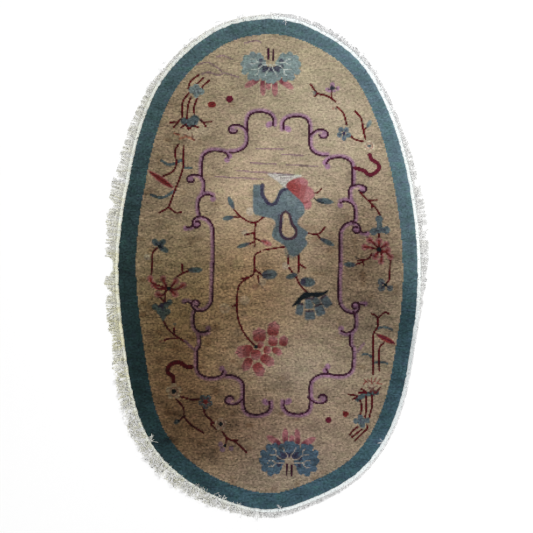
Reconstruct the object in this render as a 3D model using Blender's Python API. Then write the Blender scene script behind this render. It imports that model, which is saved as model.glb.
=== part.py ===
"""Oval knotted wool rug with a cotton fringe sewn round its edge.

Run with: blender --background --python part.py

Metres, +Z up. The rug lies flat, its long axis along Y. The origin is the centre of its underside.
"""

import math
import random

import bmesh
import bpy
import numpy as np
from mathutils import Vector

MM = 0.001

# Oval outline: an ellipse whose four shoulders are fuller than a true one. The mat is hand-woven, so
# each shoulder has its own fullness and the edge wanders a little.
HALF_LENGTH = 762 * MM
HALF_WIDTH = 463 * MM
SHOULDER_FULLNESS = {
    "upper_right": 18 * MM,
    "upper_left": 17 * MM,
    "lower_left": 41 * MM,
    "lower_right": 35 * MM,
}
SHOULDER_SHARPNESS = 4
# Slow wander of the edge: waves round the rug, how far each moves the edge, and where it starts.
EDGE_WANDER = (
    {"waves": 7, "depth": 1.6 * MM, "start": 0.4},
    {"waves": 13, "depth": 0.9 * MM, "start": 2.1},
)

# Rug body, from the floor up: the woven foundation, then the pile, whose edge rounds over to its top.
RUG_HEIGHT = 11 * MM
FOUNDATION_HEIGHT = 3 * MM
PILE_HEIGHT = RUG_HEIGHT - FOUNDATION_HEIGHT
EDGE_POINTS = 168
# Each ring of the pile's edge: how far in from the outline, and its share of the pile's height.
PILE_EDGE_RINGS = (
    {"inset": 0.4 * MM, "height_share": 0.12},
    {"inset": 0.2 * MM, "height_share": 0.50},
    {"inset": 1.6 * MM, "height_share": 0.80},
    {"inset": 4.2 * MM, "height_share": 0.95},
    {"inset": 8.5 * MM, "height_share": 1.00},
)

# Fringe: one cotton tape sewn round the edge, its two ends meeting on the left, with cut locks of yarn.
SEWN_GAP = 0.3 * MM
TAPE_WIDTH = 13 * MM
TAPE_HEIGHT = 3 * MM
TAPE_JOINT_ANGLE = 180
TAPE_JOINT_GAP = 1.2 * MM
LOCK_COUNT = 264
LOCK_ROOT_SHARE = 0.68
LOCK_TIP_SHARE = 0.5
LOCK_TIP_HEIGHT = 1.6 * MM
# A lock leaves its root at a slope along the edge of up to LOCK_LEAN, which changes by up to LOCK_CURL
# on the way to its tip.
LOCK_LEAN = 0.28
LOCK_CURL = 0.45
LOCK_LENGTH_SPREAD = 0.12
# A lock shorter than SHORT_LOCK is drawn in fewer steps.
SHORT_LOCK = 15 * MM
SHORT_LOCK_STEPS = 2
LONG_LOCK_STEPS = 3
LOCK_SEED = 5
# How far the locks reach past the tape. The fringe is long on the left, worn short at the lower right
# and over the top, and missing at two places on the sides.
LOCK_REACH = (
    {"angle": 0, "reach": 23 * MM},
    {"angle": 13, "reach": 28 * MM},
    {"angle": 17, "reach": 25 * MM},
    {"angle": 19, "reach": 8 * MM},
    {"angle": 21, "reach": 22 * MM},
    {"angle": 30, "reach": 10 * MM},
    {"angle": 47, "reach": 11 * MM},
    {"angle": 62, "reach": 18 * MM},
    {"angle": 74, "reach": 14 * MM},
    {"angle": 88, "reach": 6 * MM},
    {"angle": 106, "reach": 6 * MM},
    {"angle": 121, "reach": 14 * MM},
    {"angle": 144, "reach": 20 * MM},
    {"angle": 161, "reach": 30 * MM},
    {"angle": 177, "reach": 34 * MM},
    {"angle": 178.5, "reach": 8 * MM},
    {"angle": 181.5, "reach": 8 * MM},
    {"angle": 183, "reach": 36 * MM},
    {"angle": 193, "reach": 28 * MM},
    {"angle": 207, "reach": 32 * MM},
    {"angle": 228, "reach": 32 * MM},
    {"angle": 253, "reach": 21 * MM},
    {"angle": 286, "reach": 16 * MM},
    {"angle": 313, "reach": 9 * MM},
    {"angle": 341, "reach": 8 * MM},
    {"angle": 352, "reach": 19 * MM},
    {"angle": 360, "reach": 23 * MM},
)

# How finely the outline is measured to find its length and its direction.
OUTLINE_SAMPLES = 2880

WOOL_COLOUR = (0.40, 0.33, 0.22)
WOOL_ROUGHNESS = 0.95
COTTON_COLOUR = (0.72, 0.70, 0.60)
COTTON_ROUGHNESS = 0.9
SHARP_EDGE_DEGREES = 35


def shoulder_fullness(angle):
    """How much fuller than an ellipse the outline is at this angle, in metres."""
    side = "right" if math.cos(angle) >= 0 else "left"
    end = "upper" if math.sin(angle) >= 0 else "lower"
    return SHOULDER_FULLNESS[f"{end}_{side}"] * abs(math.sin(2 * angle)) ** SHOULDER_SHARPNESS


def outline_point(angle):
    """Point of the rug's outline at this angle round it."""
    point = Vector((HALF_WIDTH * math.cos(angle), HALF_LENGTH * math.sin(angle)))
    wander = sum(w["depth"] * math.sin(w["waves"] * angle + w["start"]) for w in EDGE_WANDER)
    return point * (1 + (shoulder_fullness(angle) + wander) / point.length)


class Outline:
    """The rug's outline, read by the share of its length and by the distance out from it."""

    def __init__(self):
        self.start = math.radians(TAPE_JOINT_ANGLE)
        self.angles = self.start + np.linspace(0, 2 * math.pi, OUTLINE_SAMPLES + 1)
        points = np.array([outline_point(angle) for angle in self.angles])
        steps = np.linalg.norm(np.diff(points, axis=0), axis=1)
        self.along = np.concatenate([[0], np.cumsum(steps)])
        self.length = self.along[-1]

    def angle_at(self, share):
        """Angle round the rug at this share of the outline's length, counted from the tape's joint."""
        return float(np.interp(share * self.length, self.along, self.angles))

    def at(self, share, outset=0.0):
        """Point at this share of the outline's length, moved out from the edge by outset."""
        angle = self.angle_at(share)
        return outline_point(angle) + self.outward(share) * outset

    def outward(self, share):
        """Direction straight out from the rug's edge."""
        angle = self.angle_at(share)
        step = 2 * math.pi / OUTLINE_SAMPLES
        along = outline_point(angle + step) - outline_point(angle - step)
        return Vector((along.y, -along.x)).normalized()


def lock_reach(angle):
    """How far the fringe reaches past its tape at this angle, in metres."""
    degrees = math.degrees(angle) % 360
    angles = [row["angle"] for row in LOCK_REACH]
    reaches = [row["reach"] for row in LOCK_REACH]
    return float(np.interp(degrees, angles, reaches))


def clear_scene():
    """Removes every object that the scene starts with."""
    for obj in list(bpy.data.objects):
        bpy.data.objects.remove(obj, do_unlink=True)


def material(name, colour, roughness):
    """Plain surface of the piece's own colour."""
    made = bpy.data.materials.new(name)
    made.use_nodes = True
    shader = made.node_tree.nodes["Principled BSDF"]
    shader.inputs["Base Color"].default_value = (*colour, 1)
    shader.inputs["Roughness"].default_value = roughness
    shader.inputs["Metallic"].default_value = 0
    made.diffuse_color = (*colour, 1)
    return made


def finished_object(name, bm, surface, parent):
    """Object made from the mesh, facing out, with its material and parent."""
    bmesh.ops.recalc_face_normals(bm, faces=bm.faces)
    mesh = bpy.data.meshes.new(name)
    bm.to_mesh(mesh)
    bm.free()
    mesh.materials.append(surface)
    mesh.shade_smooth()
    mesh.set_sharp_from_angle(angle=math.radians(SHARP_EDGE_DEGREES))
    obj = bpy.data.objects.new(name, mesh)
    bpy.context.scene.collection.objects.link(obj)
    obj.parent = parent
    return obj


def rug_rings():
    """Rings of the body from the underside's rim up, as inset from the outline and height."""
    rings = [(0.0, 0.0), (0.0, FOUNDATION_HEIGHT)]
    for ring in PILE_EDGE_RINGS:
        rings.append((ring["inset"], FOUNDATION_HEIGHT + ring["height_share"] * PILE_HEIGHT))
    return rings


def make_rug_body(outline, parent):
    """The knotted body: foundation and pile are one woven piece, so they are one solid."""
    bm = bmesh.new()
    shares = [i / EDGE_POINTS for i in range(EDGE_POINTS)]
    rings = []
    for inset, height in rug_rings():
        points = [outline.at(share, -inset) for share in shares]
        rings.append([bm.verts.new((p.x, p.y, height)) for p in points])
    bm.faces.new(reversed(rings[0]))
    bm.faces.new(rings[-1])
    for lower, upper in zip(rings, rings[1:]):
        for i in range(EDGE_POINTS):
            j = (i + 1) % EDGE_POINTS
            bm.faces.new((lower[i], lower[j], upper[j], upper[i]))
    wool = material("wool_pile", WOOL_COLOUR, WOOL_ROUGHNESS)
    return finished_object("rug_body", bm, wool, parent)


class Fringe:
    """The fringe: a tape round the rug, with a lock of yarn drawn out of each root on its outer wall."""

    def __init__(self, outline):
        self.outline = outline
        self.joint_share = TAPE_JOINT_GAP / 2 / outline.length
        self.pitch_share = (1 - 2 * self.joint_share) / LOCK_COUNT
        self.random = random.Random(LOCK_SEED)
        self.bm = bmesh.new()

    def column(self, share, outset):
        """A lower and an upper point of the tape's wall."""
        point = self.outline.at(share, outset)
        low = self.bm.verts.new((point.x, point.y, 0))
        high = self.bm.verts.new((point.x, point.y, TAPE_HEIGHT))
        return low, high

    def root_shares(self, index):
        """Where this lock's root starts and ends along the outline."""
        start = self.joint_share + index * self.pitch_share
        rest = (1 - LOCK_ROOT_SHARE) / 2
        return start + rest * self.pitch_share, start + (1 - rest) * self.pitch_share

    def make_tape(self):
        """Walls, top and underside of the tape. Returns the root columns of each lock."""
        inner_out = SEWN_GAP
        outer_out = SEWN_GAP + TAPE_WIDTH
        first, last = self.joint_share, 1 - self.joint_share
        inner = [
            self.column(first + i * self.pitch_share, inner_out) for i in range(LOCK_COUNT + 1)
        ]
        first_outer, last_outer = self.column(first, outer_out), self.column(last, outer_out)
        roots = []
        for index in range(LOCK_COUNT):
            a, b = self.root_shares(index)
            roots.append((self.column(a, outer_out), self.column(b, outer_out)))
        before = first_outer
        for index, (start, end) in enumerate(roots):
            after = last_outer if index == LOCK_COUNT - 1 else None
            rim = [before, start, end] if after is None else [before, start, end, after]
            self.close_sector(inner[index], inner[index + 1], rim)
            self.bm.faces.new((before[0], start[0], start[1], before[1]))
            before = end
        self.bm.faces.new((roots[-1][1][0], last_outer[0], last_outer[1], roots[-1][1][1]))
        self.bm.faces.new((inner[0][0], first_outer[0], first_outer[1], inner[0][1]))
        self.bm.faces.new((last_outer[0], inner[-1][0], inner[-1][1], last_outer[1]))
        return roots

    def close_sector(self, inner_start, inner_end, rim):
        """Inner wall, underside and top of one lock's length of tape."""
        self.bm.faces.new((inner_start[0], inner_start[1], inner_end[1], inner_end[0]))
        for level in (0, 1):
            self.bm.faces.new((inner_start[level], inner_end[level], *[c[level] for c in reversed(rim)]))

    def draw_lock(self, index, root):
        """One lock: it leaves its root, leans along the edge and curls on, getting narrower and lower."""
        a, b = self.root_shares(index)
        middle = (a + b) / 2
        angle = self.outline.angle_at(middle)
        outward = self.outline.outward(middle)
        along = Vector((-outward.y, outward.x))
        spread = self.random.uniform(-LOCK_LENGTH_SPREAD, LOCK_LENGTH_SPREAD)
        reach = lock_reach(angle) * (1 + spread)
        lean = self.random.uniform(-LOCK_LEAN, LOCK_LEAN)
        curl = self.random.uniform(-LOCK_CURL, LOCK_CURL)
        steps = SHORT_LOCK_STEPS if reach < SHORT_LOCK else LONG_LOCK_STEPS
        base = self.outline.at(middle, SEWN_GAP + TAPE_WIDTH)
        root_width = (b - a) * self.outline.length
        ring = [root[0][0], root[1][0], root[1][1], root[0][1]]
        for step in range(1, steps + 1):
            share = step / steps
            aside = reach * (lean * share + curl * share**2 / 2)
            centre = base + outward * reach * share + along * aside
            half = root_width / 2 * (1 - (1 - LOCK_TIP_SHARE) * share)
            height = TAPE_HEIGHT - (TAPE_HEIGHT - LOCK_TIP_HEIGHT) * share
            across = (along - outward * (lean + curl * share)).normalized()
            left, right = centre - across * half, centre + across * half
            corners = ((left, 0), (right, 0), (right, height), (left, height))
            following = [self.bm.verts.new((p.x, p.y, z)) for p, z in corners]
            for i in range(4):
                j = (i + 1) % 4
                self.bm.faces.new((ring[i], ring[j], following[j], following[i]))
            ring = following
        self.bm.faces.new(ring)

    def make(self, parent):
        """The finished fringe."""
        for index, root in enumerate(self.make_tape()):
            self.draw_lock(index, root)
        cotton = material("fringe_cotton", COTTON_COLOUR, COTTON_ROUGHNESS)
        return finished_object("fringe", self.bm, cotton, parent)


def main():
    clear_scene()
    rug = bpy.data.objects.new("oval_rug", None)
    bpy.context.scene.collection.objects.link(rug)
    outline = Outline()
    make_rug_body(outline, rug)
    Fringe(outline).make(rug)


main()
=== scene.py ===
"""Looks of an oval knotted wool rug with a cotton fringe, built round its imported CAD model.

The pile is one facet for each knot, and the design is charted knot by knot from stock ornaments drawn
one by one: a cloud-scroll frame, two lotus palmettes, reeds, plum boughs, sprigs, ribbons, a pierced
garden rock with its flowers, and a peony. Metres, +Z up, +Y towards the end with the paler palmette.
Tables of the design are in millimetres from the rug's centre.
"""

import logging
import math
from dataclasses import dataclass, field
from enum import Enum
from typing import Any, Callable, Iterable, Sequence

import bpy
import numpy as np
from bpy.types import Material, Mesh, Node, NodeSocket, Object
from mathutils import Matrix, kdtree


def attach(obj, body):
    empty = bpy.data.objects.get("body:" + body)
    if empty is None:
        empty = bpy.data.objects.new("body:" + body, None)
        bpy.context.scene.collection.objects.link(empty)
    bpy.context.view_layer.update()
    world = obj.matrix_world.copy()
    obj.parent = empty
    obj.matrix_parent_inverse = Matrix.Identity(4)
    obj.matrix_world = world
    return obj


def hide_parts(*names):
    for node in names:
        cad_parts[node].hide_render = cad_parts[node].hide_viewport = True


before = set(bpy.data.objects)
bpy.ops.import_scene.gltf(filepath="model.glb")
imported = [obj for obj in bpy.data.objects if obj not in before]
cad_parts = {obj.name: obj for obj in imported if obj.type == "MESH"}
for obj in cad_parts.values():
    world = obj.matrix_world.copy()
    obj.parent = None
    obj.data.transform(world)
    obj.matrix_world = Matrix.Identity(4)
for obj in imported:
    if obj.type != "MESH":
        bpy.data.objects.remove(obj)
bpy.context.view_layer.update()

log = logging.getLogger("oval_rug")

Point = tuple[float, float]
Path = Sequence[Point]
# Points of a motif as x, y, x, y and so on, in millimetres.
Flat = Sequence[float]
Array = np.ndarray

MM = 0.001
TURN = 2 * math.pi
ROOT = "root"
# Seeds of the sheets of knots, the fringe, its slow lean, and the wear.
SHEET_SEED, FRINGE_SEED, LEAN_SEED, WEAR_SEED = 11, 12, 13, 14

# Scale of the photograph, which shows the rug from straight above.
PHOTO_WIDTH_PX = 533
RUG_CENTRE_PX = (267.2, 263.4)
METRES_PER_PX = 3.105 * MM


def linear(level: float) -> float:
    """Scene-linear value of one sRGB level from 0 to 255."""
    share = level / 255
    return share / 12.92 if share <= 0.04045 else ((share + 0.055) / 1.055) ** 2.4


def linear_rgb(levels: Sequence[float]) -> Array:
    """Scene-linear colour of an sRGB triple from 0 to 255."""
    return np.array([linear(level) for level in levels])


# ---- Shader maths ----


@dataclass(frozen=True)
class Wire:
    """Output socket of a shader node, used like a number in an expression."""

    tree: "ShaderTree"
    socket: NodeSocket

    def _maths(self, operation: str, first: Any, second: Any) -> "Wire":
        """A Math node of that operation on two values or wires."""
        return self.tree.add("ShaderNodeMath", {"operation": operation}, {0: first, 1: second})

    def __add__(self, other: Any) -> "Wire":
        """Sum."""
        return self._maths("ADD", self, other)

    __radd__ = __add__

    def __mul__(self, other: Any) -> "Wire":
        """Product."""
        return self._maths("MULTIPLY", self, other)

    __rmul__ = __mul__

    def above(self, limit: float) -> "Wire":
        """1 where the value is over the limit, and 0 elsewhere."""
        return self._maths("GREATER_THAN", self, limit)

    def sine(self) -> "Wire":
        """Sine of the value."""
        return self._maths("SINE", self, 0.0)


class ShaderTree:
    """A material's nodes, added one at a time."""

    def __init__(self, name: str) -> None:
        """Starts a material with its Principled shader."""
        self.material = bpy.data.materials.new(name)
        self.material.use_nodes = True
        self.nodes = self.material.node_tree.nodes
        self.links = self.material.node_tree.links
        self.surface = self.nodes["Principled BSDF"]

    def add(self, kind: str, settings: dict[str, Any], inputs: dict[Any, Any], output: Any = 0) -> Wire:
        """Adds a node.

        Args:
            kind: the node's type.
            settings: its properties, set first.
            inputs: values or wires by socket number, name or identifier.
            output: number or identifier of the socket that is returned.

        Returns:
            The output socket as a wire.
        """
        node = self.nodes.new(kind)
        for name, value in settings.items():
            setattr(node, name, value)
        for key, value in inputs.items():
            self.feed(node, key, value)
        return Wire(self, self._socket(node.outputs, output))

    def feed(self, node: Node, key: Any, value: Any) -> None:
        """Sets or links one input socket of a node."""
        socket = self._socket(node.inputs, key)
        if isinstance(value, Wire):
            self.links.new(value.socket, socket)
        else:
            socket.default_value = value

    def mix(self, blend: str, factor: Any, first: Any, second: Any) -> Wire:
        """Mixes two colours."""
        settings = {"data_type": "RGBA", "blend_type": blend}
        inputs = {"Factor_Float": factor, "A_Color": first, "B_Color": second}
        return self.add("ShaderNodeMix", settings, inputs, "Result_Color")

    def toned(self, colour: Wire, tone: Wire) -> Wire:
        """A colour made darker or lighter by a number."""
        grey = self.add("ShaderNodeCombineColor", {}, {0: tone, 1: tone, 2: tone})
        return self.mix("MULTIPLY", 1.0, colour, grey)

    def noise(self, place: Wire, scale: float, detail: float = 2.0, roughness: float = 0.6) -> Wire:
        """Noise from 0 to 1 at that many grains a metre."""
        inputs = {"Vector": place, "Scale": scale, "Detail": detail, "Roughness": roughness}
        return self.add("ShaderNodeTexNoise", {}, inputs, "Fac")

    def place(self) -> Wire:
        """Object coordinates, in metres."""
        return self.add("ShaderNodeTexCoord", {}, {}, "Object")

    def yarn(self) -> Wire:
        """The mesh's own yarn colours."""
        return self.add("ShaderNodeAttribute", {"attribute_name": COLOUR_LAYER}, {}, "Color")

    def finish(self, sockets: dict[str, Any]) -> Material:
        """Sets the Principled shader's sockets and returns the material."""
        for name, value in sockets.items():
            self.feed(self.surface, name, value)
        return self.material

    def bump(self, height: Wire, strength: float, distance: float) -> Wire:
        """Normal from a height, with the bump's depth in metres."""
        inputs = {"Height": height, "Strength": strength, "Distance": distance}
        return self.add("ShaderNodeBump", {}, inputs, "Normal")

    @staticmethod
    def _socket(sockets: Any, key: Any) -> NodeSocket:
        """Socket by number, identifier or name."""
        if isinstance(key, int):
            return sockets[key]
        for socket in sockets:
            if socket.identifier == key:
                return socket
        return sockets[key]


# ---- Meshes, pieces and curves ----

COLOUR_LAYER = "yarn_colour"


def mesh_from(name: str, points: Array, face_sets: Iterable[Array]) -> Mesh:
    """Makes a mesh from arrays.

    Args:
        name: the mesh's name.
        points: one row of x, y, z for each vertex.
        face_sets: arrays of faces, each with its own number of corners.

    Returns:
        The new mesh, shaded smooth.
    """
    sets = [faces for faces in face_sets if len(faces)]
    corners = np.concatenate([faces.ravel() for faces in sets]).astype(np.int32)
    sizes = np.concatenate([np.full(len(faces), faces.shape[1]) for faces in sets])
    starts = np.concatenate([[0], np.cumsum(sizes)[:-1]]).astype(np.int32)
    mesh = bpy.data.meshes.new(name)
    mesh.vertices.add(len(points))
    mesh.loops.add(len(corners))
    mesh.polygons.add(len(sizes))
    mesh.vertices.foreach_set("co", points.astype(np.float32).ravel())
    mesh.loops.foreach_set("vertex_index", corners)
    mesh.polygons.foreach_set("loop_start", starts)
    mesh.update(calc_edges=True)
    mesh.validate()
    mesh.shade_smooth()
    return mesh


def colour_corners(mesh: Mesh, colours: Array) -> None:
    """Gives each corner of each face its own scene-linear colour."""
    layer = mesh.color_attributes.new(COLOUR_LAYER, "FLOAT_COLOR", "CORNER")
    opaque = np.column_stack([colours, np.ones(len(colours))])
    layer.data.foreach_set("color", opaque.astype(np.float32).ravel())


def add_piece(mesh: Mesh, finish: Material, node: str) -> Object:
    """Puts a piece of the rug in the scene, in place of a CAD node.

    Args:
        mesh: its mesh, in the CAD's frame.
        finish: its material.
        node: the CAD node that it stands for.

    Returns:
        The new object.
    """
    mesh.materials.append(finish)
    piece = bpy.data.objects.new(mesh.name, mesh)
    bpy.context.scene.collection.objects.link(piece)
    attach(piece, ROOT)
    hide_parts(node)
    triangles = sum(len(polygon.vertices) - 2 for polygon in mesh.polygons)
    log.info("%s: %d triangles", piece.name, triangles)
    return piece


def smooth_path(points: Path, step: float, closed: bool = False) -> Array:
    """Curve through given points.

    Args:
        points: the points.
        step: spacing of the returned points, in the points' own unit.
        closed: whether the curve returns to its start.

    Returns:
        Points along the curve, one row each.
    """
    knots = np.array(points, float)
    if closed:
        knots = np.vstack([knots[-1], knots, knots[:2]])
    else:
        knots = np.vstack([2 * knots[0] - knots[1], knots, 2 * knots[-1] - knots[-2]])
    curve = []
    for before, start, end, after in zip(knots, knots[1:], knots[2:], knots[3:]):
        count = max(2, int(np.linalg.norm(end - start) / step))
        t = np.linspace(0, 1, count, endpoint=False)[:, None]
        curve.append(0.5 * (2 * start + (end - before) * t
                            + (2 * before - 5 * start + 4 * end - after) * t**2
                            + (3 * start - before - 3 * end + after) * t**3))
    if not closed:
        curve.append(knots[-2][None])
    return np.vstack(curve)


def soft_noise(generator: np.random.Generator, shape: tuple[int, int], grain: tuple[float, float]) -> Array:
    """Smooth random field with a spread of 1.

    Args:
        generator: the random draws.
        shape: rows and columns of the field.
        grain: height and width of one grain, in rows and columns.

    Returns:
        The field.
    """
    coarse = generator.normal(size=[int(size / cell) + 3 for size, cell in zip(shape, grain)])
    for axis, (size, cell) in enumerate(zip(shape, grain)):
        place = np.arange(size) / cell + generator.uniform()
        low = place.astype(int)
        part = place - low
        part = (part * part * (3 - 2 * part)).reshape([-1, 1] if axis == 0 else [1, -1])
        coarse = np.take(coarse, low, axis) * (1 - part) + np.take(coarse, low + 1, axis) * part
    return coarse / coarse.std()


# ---- The rug's rim and its outline ----


@dataclass(frozen=True)
class RimRow:
    """The border at one angle round the rug.

    Attributes:
        angle: degrees from +X.
        share: the border's lightness as a share of its dye, partly painted light and shade (darker on the
            left, paler on the right and top), partly fading.
        warmth: how much browner (or, below 0, bluer) its wool is.
        width: the border's width, in millimetres.
        drift: how far the worn edge lies outside the CAD's, in millimetres.
    """

    angle: float
    share: float
    warmth: float
    width: float
    drift: float


# The border's lightness round the rug is partly painted light and shade, darker on the left and paler on the
# right.
RIM = tuple(RimRow(*row) for row in (
    (0, 1.2, 0.1, 46, 1), (40, 1.6, 0.1, 48, -3), (65, 1.8, 0.1, 43, 0), (90, 1.2, 0.1, 49, -3),
    (120, 0.9, 0.1, 50, -2), (150, 0.5, 0, 53, -13), (180, 0.3, 0, 55, 0), (220, 0.2, -0.2, 60, 0),
    (240, 0.3, -0.2, 56, -2), (270, 0.9, -0.2, 52, -2), (300, 0.9, -0.2, 46, 1), (340, 0.5, -0.2, 47, 8),
))


@dataclass(frozen=True)
class CottonRow:
    """The fringe at one angle round the rug.

    Attributes:
        angle: degrees from +X.
        soil: how far the cotton is darkened and yellowed from clean, from 0 to 1: partly soiling, partly
            painted shade on the left side.
        tape: the tape's tone as a share of the locks' tone.
        length: the locks' length as a share of the CAD's.
        cover: how far in over the tape the locks begin, as a share of its width.
        tangle: how ruffled the locks are, from 0 to 1.
    """

    angle: float
    soil: float
    tape: float
    length: float
    cover: float
    tangle: float


# The fringe's darkening round the rug is partly soiling and partly painted shade, darkest on the left side.
COTTON = tuple(CottonRow(*row) for row in (
    (0, 0.12, 1, 1.04, 0.1, 0.1), (30, 0.12, 0.9, 0.97, 0.1, 0.1), (60, 0, 0.93, 0.9, 0.1, 0.3),
    (85, 0, 0.9, 0.85, 0.1, 0.3), (92, 0.2, 0.84, 0.5, 0.2, 0.4), (117, 0.35, 0.8, 0.5, 0.3, 0.4),
    (124, 0.4, 0.84, 0.85, 0.2, 0.3), (150, 0.45, 1, 0.9, 0.1, 0), (170, 0.65, 1.02, 0.9, 0.1, 0),
    (190, 0.95, 1, 0.97, 0.1, 0), (210, 1, 0.97, 1.1, 0.3, 0.3), (225, 0.6, 1.02, 1.08, 0.6, 0.9),
    (240, 0.5, 1.05, 1.02, 0.6, 1), (257, 0.4, 1.02, 0.97, 0.6, 0.9), (270, 0.05, 0.9, 0.82, 0.2, 0.3),
    (300, 0, 0.88, 0.62, 0, 0), (330, 0, 0.58, 0.66, 0, 0),
))


def round_rug(angles: Array, value: str, rows: Sequence[Any] = RIM) -> Array:
    """Reads one column of the rim's table, or of the fringe's, at these angles, in degrees."""
    return np.interp(angles, [row.angle for row in rows], [getattr(row, value) for row in rows], period=360)


class RugOutline:
    """The rug's edge and the fringe's reach, as the CAD solids have them."""

    SAMPLES = 7200
    UNDERSIDE_HEIGHT = 0.1 * MM
    CURVE_STEP = 0.05
    REACH_BINS = 240

    def __init__(self) -> None:
        """Reads the edge of the body's underside, and how far the fringe's locks reach past it."""
        ring = self._points("rug_body", self.UNDERSIDE_HEIGHT)
        turns = np.arctan2(ring[:, 1], ring[:, 0])
        knots = np.column_stack([turns, np.hypot(*ring.T) / MM])[np.argsort(turns)]
        curve = smooth_path(knots, self.CURVE_STEP)
        self.angles = np.linspace(-math.pi, math.pi, self.SAMPLES, endpoint=False)
        drift = round_rug(np.degrees(self.angles) % 360, "drift")
        radius = np.interp(self.angles, curve[:, 0], curve[:, 1], period=TURN) + drift
        radius *= MM
        self.points = np.column_stack([radius * np.cos(self.angles), radius * np.sin(self.angles)])
        along = np.roll(self.points, -1, 0) - np.roll(self.points, 1, 0)
        along /= np.linalg.norm(along, axis=1)[:, None]
        self.outward = np.column_stack([along[:, 1], -along[:, 0]])
        steps = np.linalg.norm(np.roll(self.points, -1, 0) - self.points, axis=1)
        self.along = np.concatenate([[0], np.cumsum(steps)])
        self.length = float(self.along[-1])
        self.tree = kdtree.KDTree(self.SAMPLES)
        for index, (x, y) in enumerate(self.points):
            self.tree.insert((x, y, 0), index)
        self.tree.balance()
        index, outset = self.nearest(self._points("fringe", 1.0))
        self.fringe_reach = np.zeros(self.REACH_BINS)
        np.maximum.at(self.fringe_reach, index * self.REACH_BINS // self.SAMPLES, outset)

    @staticmethod
    def _points(node: str, below: float) -> Array:
        """Places of a CAD node's vertices that lie below a height."""
        points = np.array([tuple(v.co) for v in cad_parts[node].data.vertices])
        return np.unique(np.round(points[points[:, 2] < below][:, :2], 6), axis=0)

    def nearest(self, places: Array) -> tuple[Array, Array]:
        """Nearest sample of the edge to each place, and how far out past it the place lies."""
        found = np.array([self.tree.find((x, y, 0))[1] for x, y in places])
        outset = np.einsum("ij,ij->i", places - self.points[found], self.outward[found])
        return found, outset

    def reach(self, shares: Array) -> Array:
        """How far the fringe reaches past the edge at these shares of the outline's length."""
        places = self.sample(shares) * self.REACH_BINS / self.SAMPLES
        centres = np.arange(self.REACH_BINS) + 0.5
        return np.interp(places, centres, self.fringe_reach, period=self.REACH_BINS)

    def sample(self, shares: Array) -> Array:
        """Place among the samples of these shares of the outline's length."""
        return np.interp(np.mod(shares, 1) * self.length, self.along, np.arange(self.SAMPLES + 1))

    def share(self, angle: float) -> float:
        """Share of the outline's length at an angle round the rug, in degrees from +X."""
        sample = self.SAMPLES * ((angle + 180) % 360) / 360
        return float(np.interp(sample, np.arange(self.SAMPLES + 1), self.along) / self.length)

    def at(self, shares: Array, outset: Any = 0.0) -> Array:
        """Points at these shares of the outline's length, moved out from the edge."""
        return self._blend(self.points, shares) + self.normal(shares) * np.reshape(outset, (-1, 1))

    def normal(self, shares: Array) -> Array:
        """Directions straight out from the edge."""
        return self._blend(self.outward, shares)

    def _blend(self, values: Array, shares: Array) -> Array:
        """Values between two samples."""
        place = self.sample(shares)
        low = np.floor(place).astype(int) % self.SAMPLES
        part = (place - np.floor(place))[:, None]
        return values[low] * (1 - part) + values[(low + 1) % self.SAMPLES] * part


# ---- Yarns, painted light, wear and the knot chart ----


class Yarn(Enum):
    """Dyed wools of the design, as sRGB levels where they are neither bleached nor soiled."""

    TAUPE = (162, 150, 126)
    SEA_GREEN = (62, 84, 90)
    LAVENDER = (148, 112, 139)
    PLUM = (60, 25, 44)
    PALE_BLUE = (118, 134, 134)
    DENIM = (78, 104, 118)
    SLATE_BLUE = (91, 107, 112)
    LEAF_TEAL = (80, 96, 99)
    INK = (20, 30, 36)
    INDIGO = (50, 44, 68)
    VIOLET = (124, 104, 128)
    SKY = (180, 186, 180)
    CREAM = (190, 182, 158)
    ROSE = (160, 110, 110)
    SCARLET = (126, 50, 47)
    MAROON = (84, 12, 22)
    CRIMSON = (96, 28, 46)
    MAUVE = (122, 96, 108)
    MOSS = (146, 146, 106)
    RUST = (160, 104, 80)
    SOOT = (84, 72, 62)

    def colour(self) -> Array:
        """The yarn's scene-linear colour."""
        return linear_rgb(self.value)


@dataclass(frozen=True)
class Patch:
    """A soft place where the wool is lighter or darker: partly real bleaching and soiling, partly painted
    light and shade falling across the pile.

    Attributes:
        name: where it is.
        x: its middle across the rug, in millimetres, as the next three are.
        y: its middle along the rug.
        width: its half width.
        length: its half length.
        light: how much lighter (or, below 0, darker) it is, in natural-log steps.
        warmth: how much browner (or, below 0, bluer) it is.
    """

    name: str
    x: float
    y: float
    width: float
    length: float
    light: float
    warmth: float

    def strength(self, x: Array, y: Array) -> Array:
        """How strongly it shows at each place, from 0 to 1."""
        across, along = (x / MM - self.x) / self.width, (y / MM - self.y) / self.length
        return np.exp(-(across**2 + along**2) / 2)


# Painted light and shade across the pile, with bleaching and soiling: the whole field, and its places one by
# one.
BASE_LIGHT = -0.4
BASE_WARMTH = 0.1
FIELD_PATCHES = tuple(Patch(*row) for row in (
    ("pale upper right", 200, 460, 170, 220, 0.4, -0.1),
    ("top end", 20, 640, 170, 100, 0.1, 0),
    ("upper left", -290, 420, 90, 170, -0.2, 0.1),
    ("left margin", -370, 20, 100, 260, -0.4, 0.1),
    ("left belly", -290, -290, 120, 190, -1.1, 0.6),
    ("left foot", -220, -540, 140, 90, -0.8, 0.3),
    ("middle", -30, 190, 130, 140, 0.4, 0),
    ("round the hanging branch", -60, -80, 120, 130, -0.5, 0.4),
    ("right waist", 280, 10, 80, 120, -0.7, 0.2),
    ("right belly", 330, -180, 90, 120, -0.3, 0),
    ("under the peony", -80, -430, 130, 60, -0.4, 0.1),
    ("right of the peony", 100, -330, 80, 60, 0.2, -0.1),
    ("low end", 80, -640, 160, 60, -0.1, -0.1),
))
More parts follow.
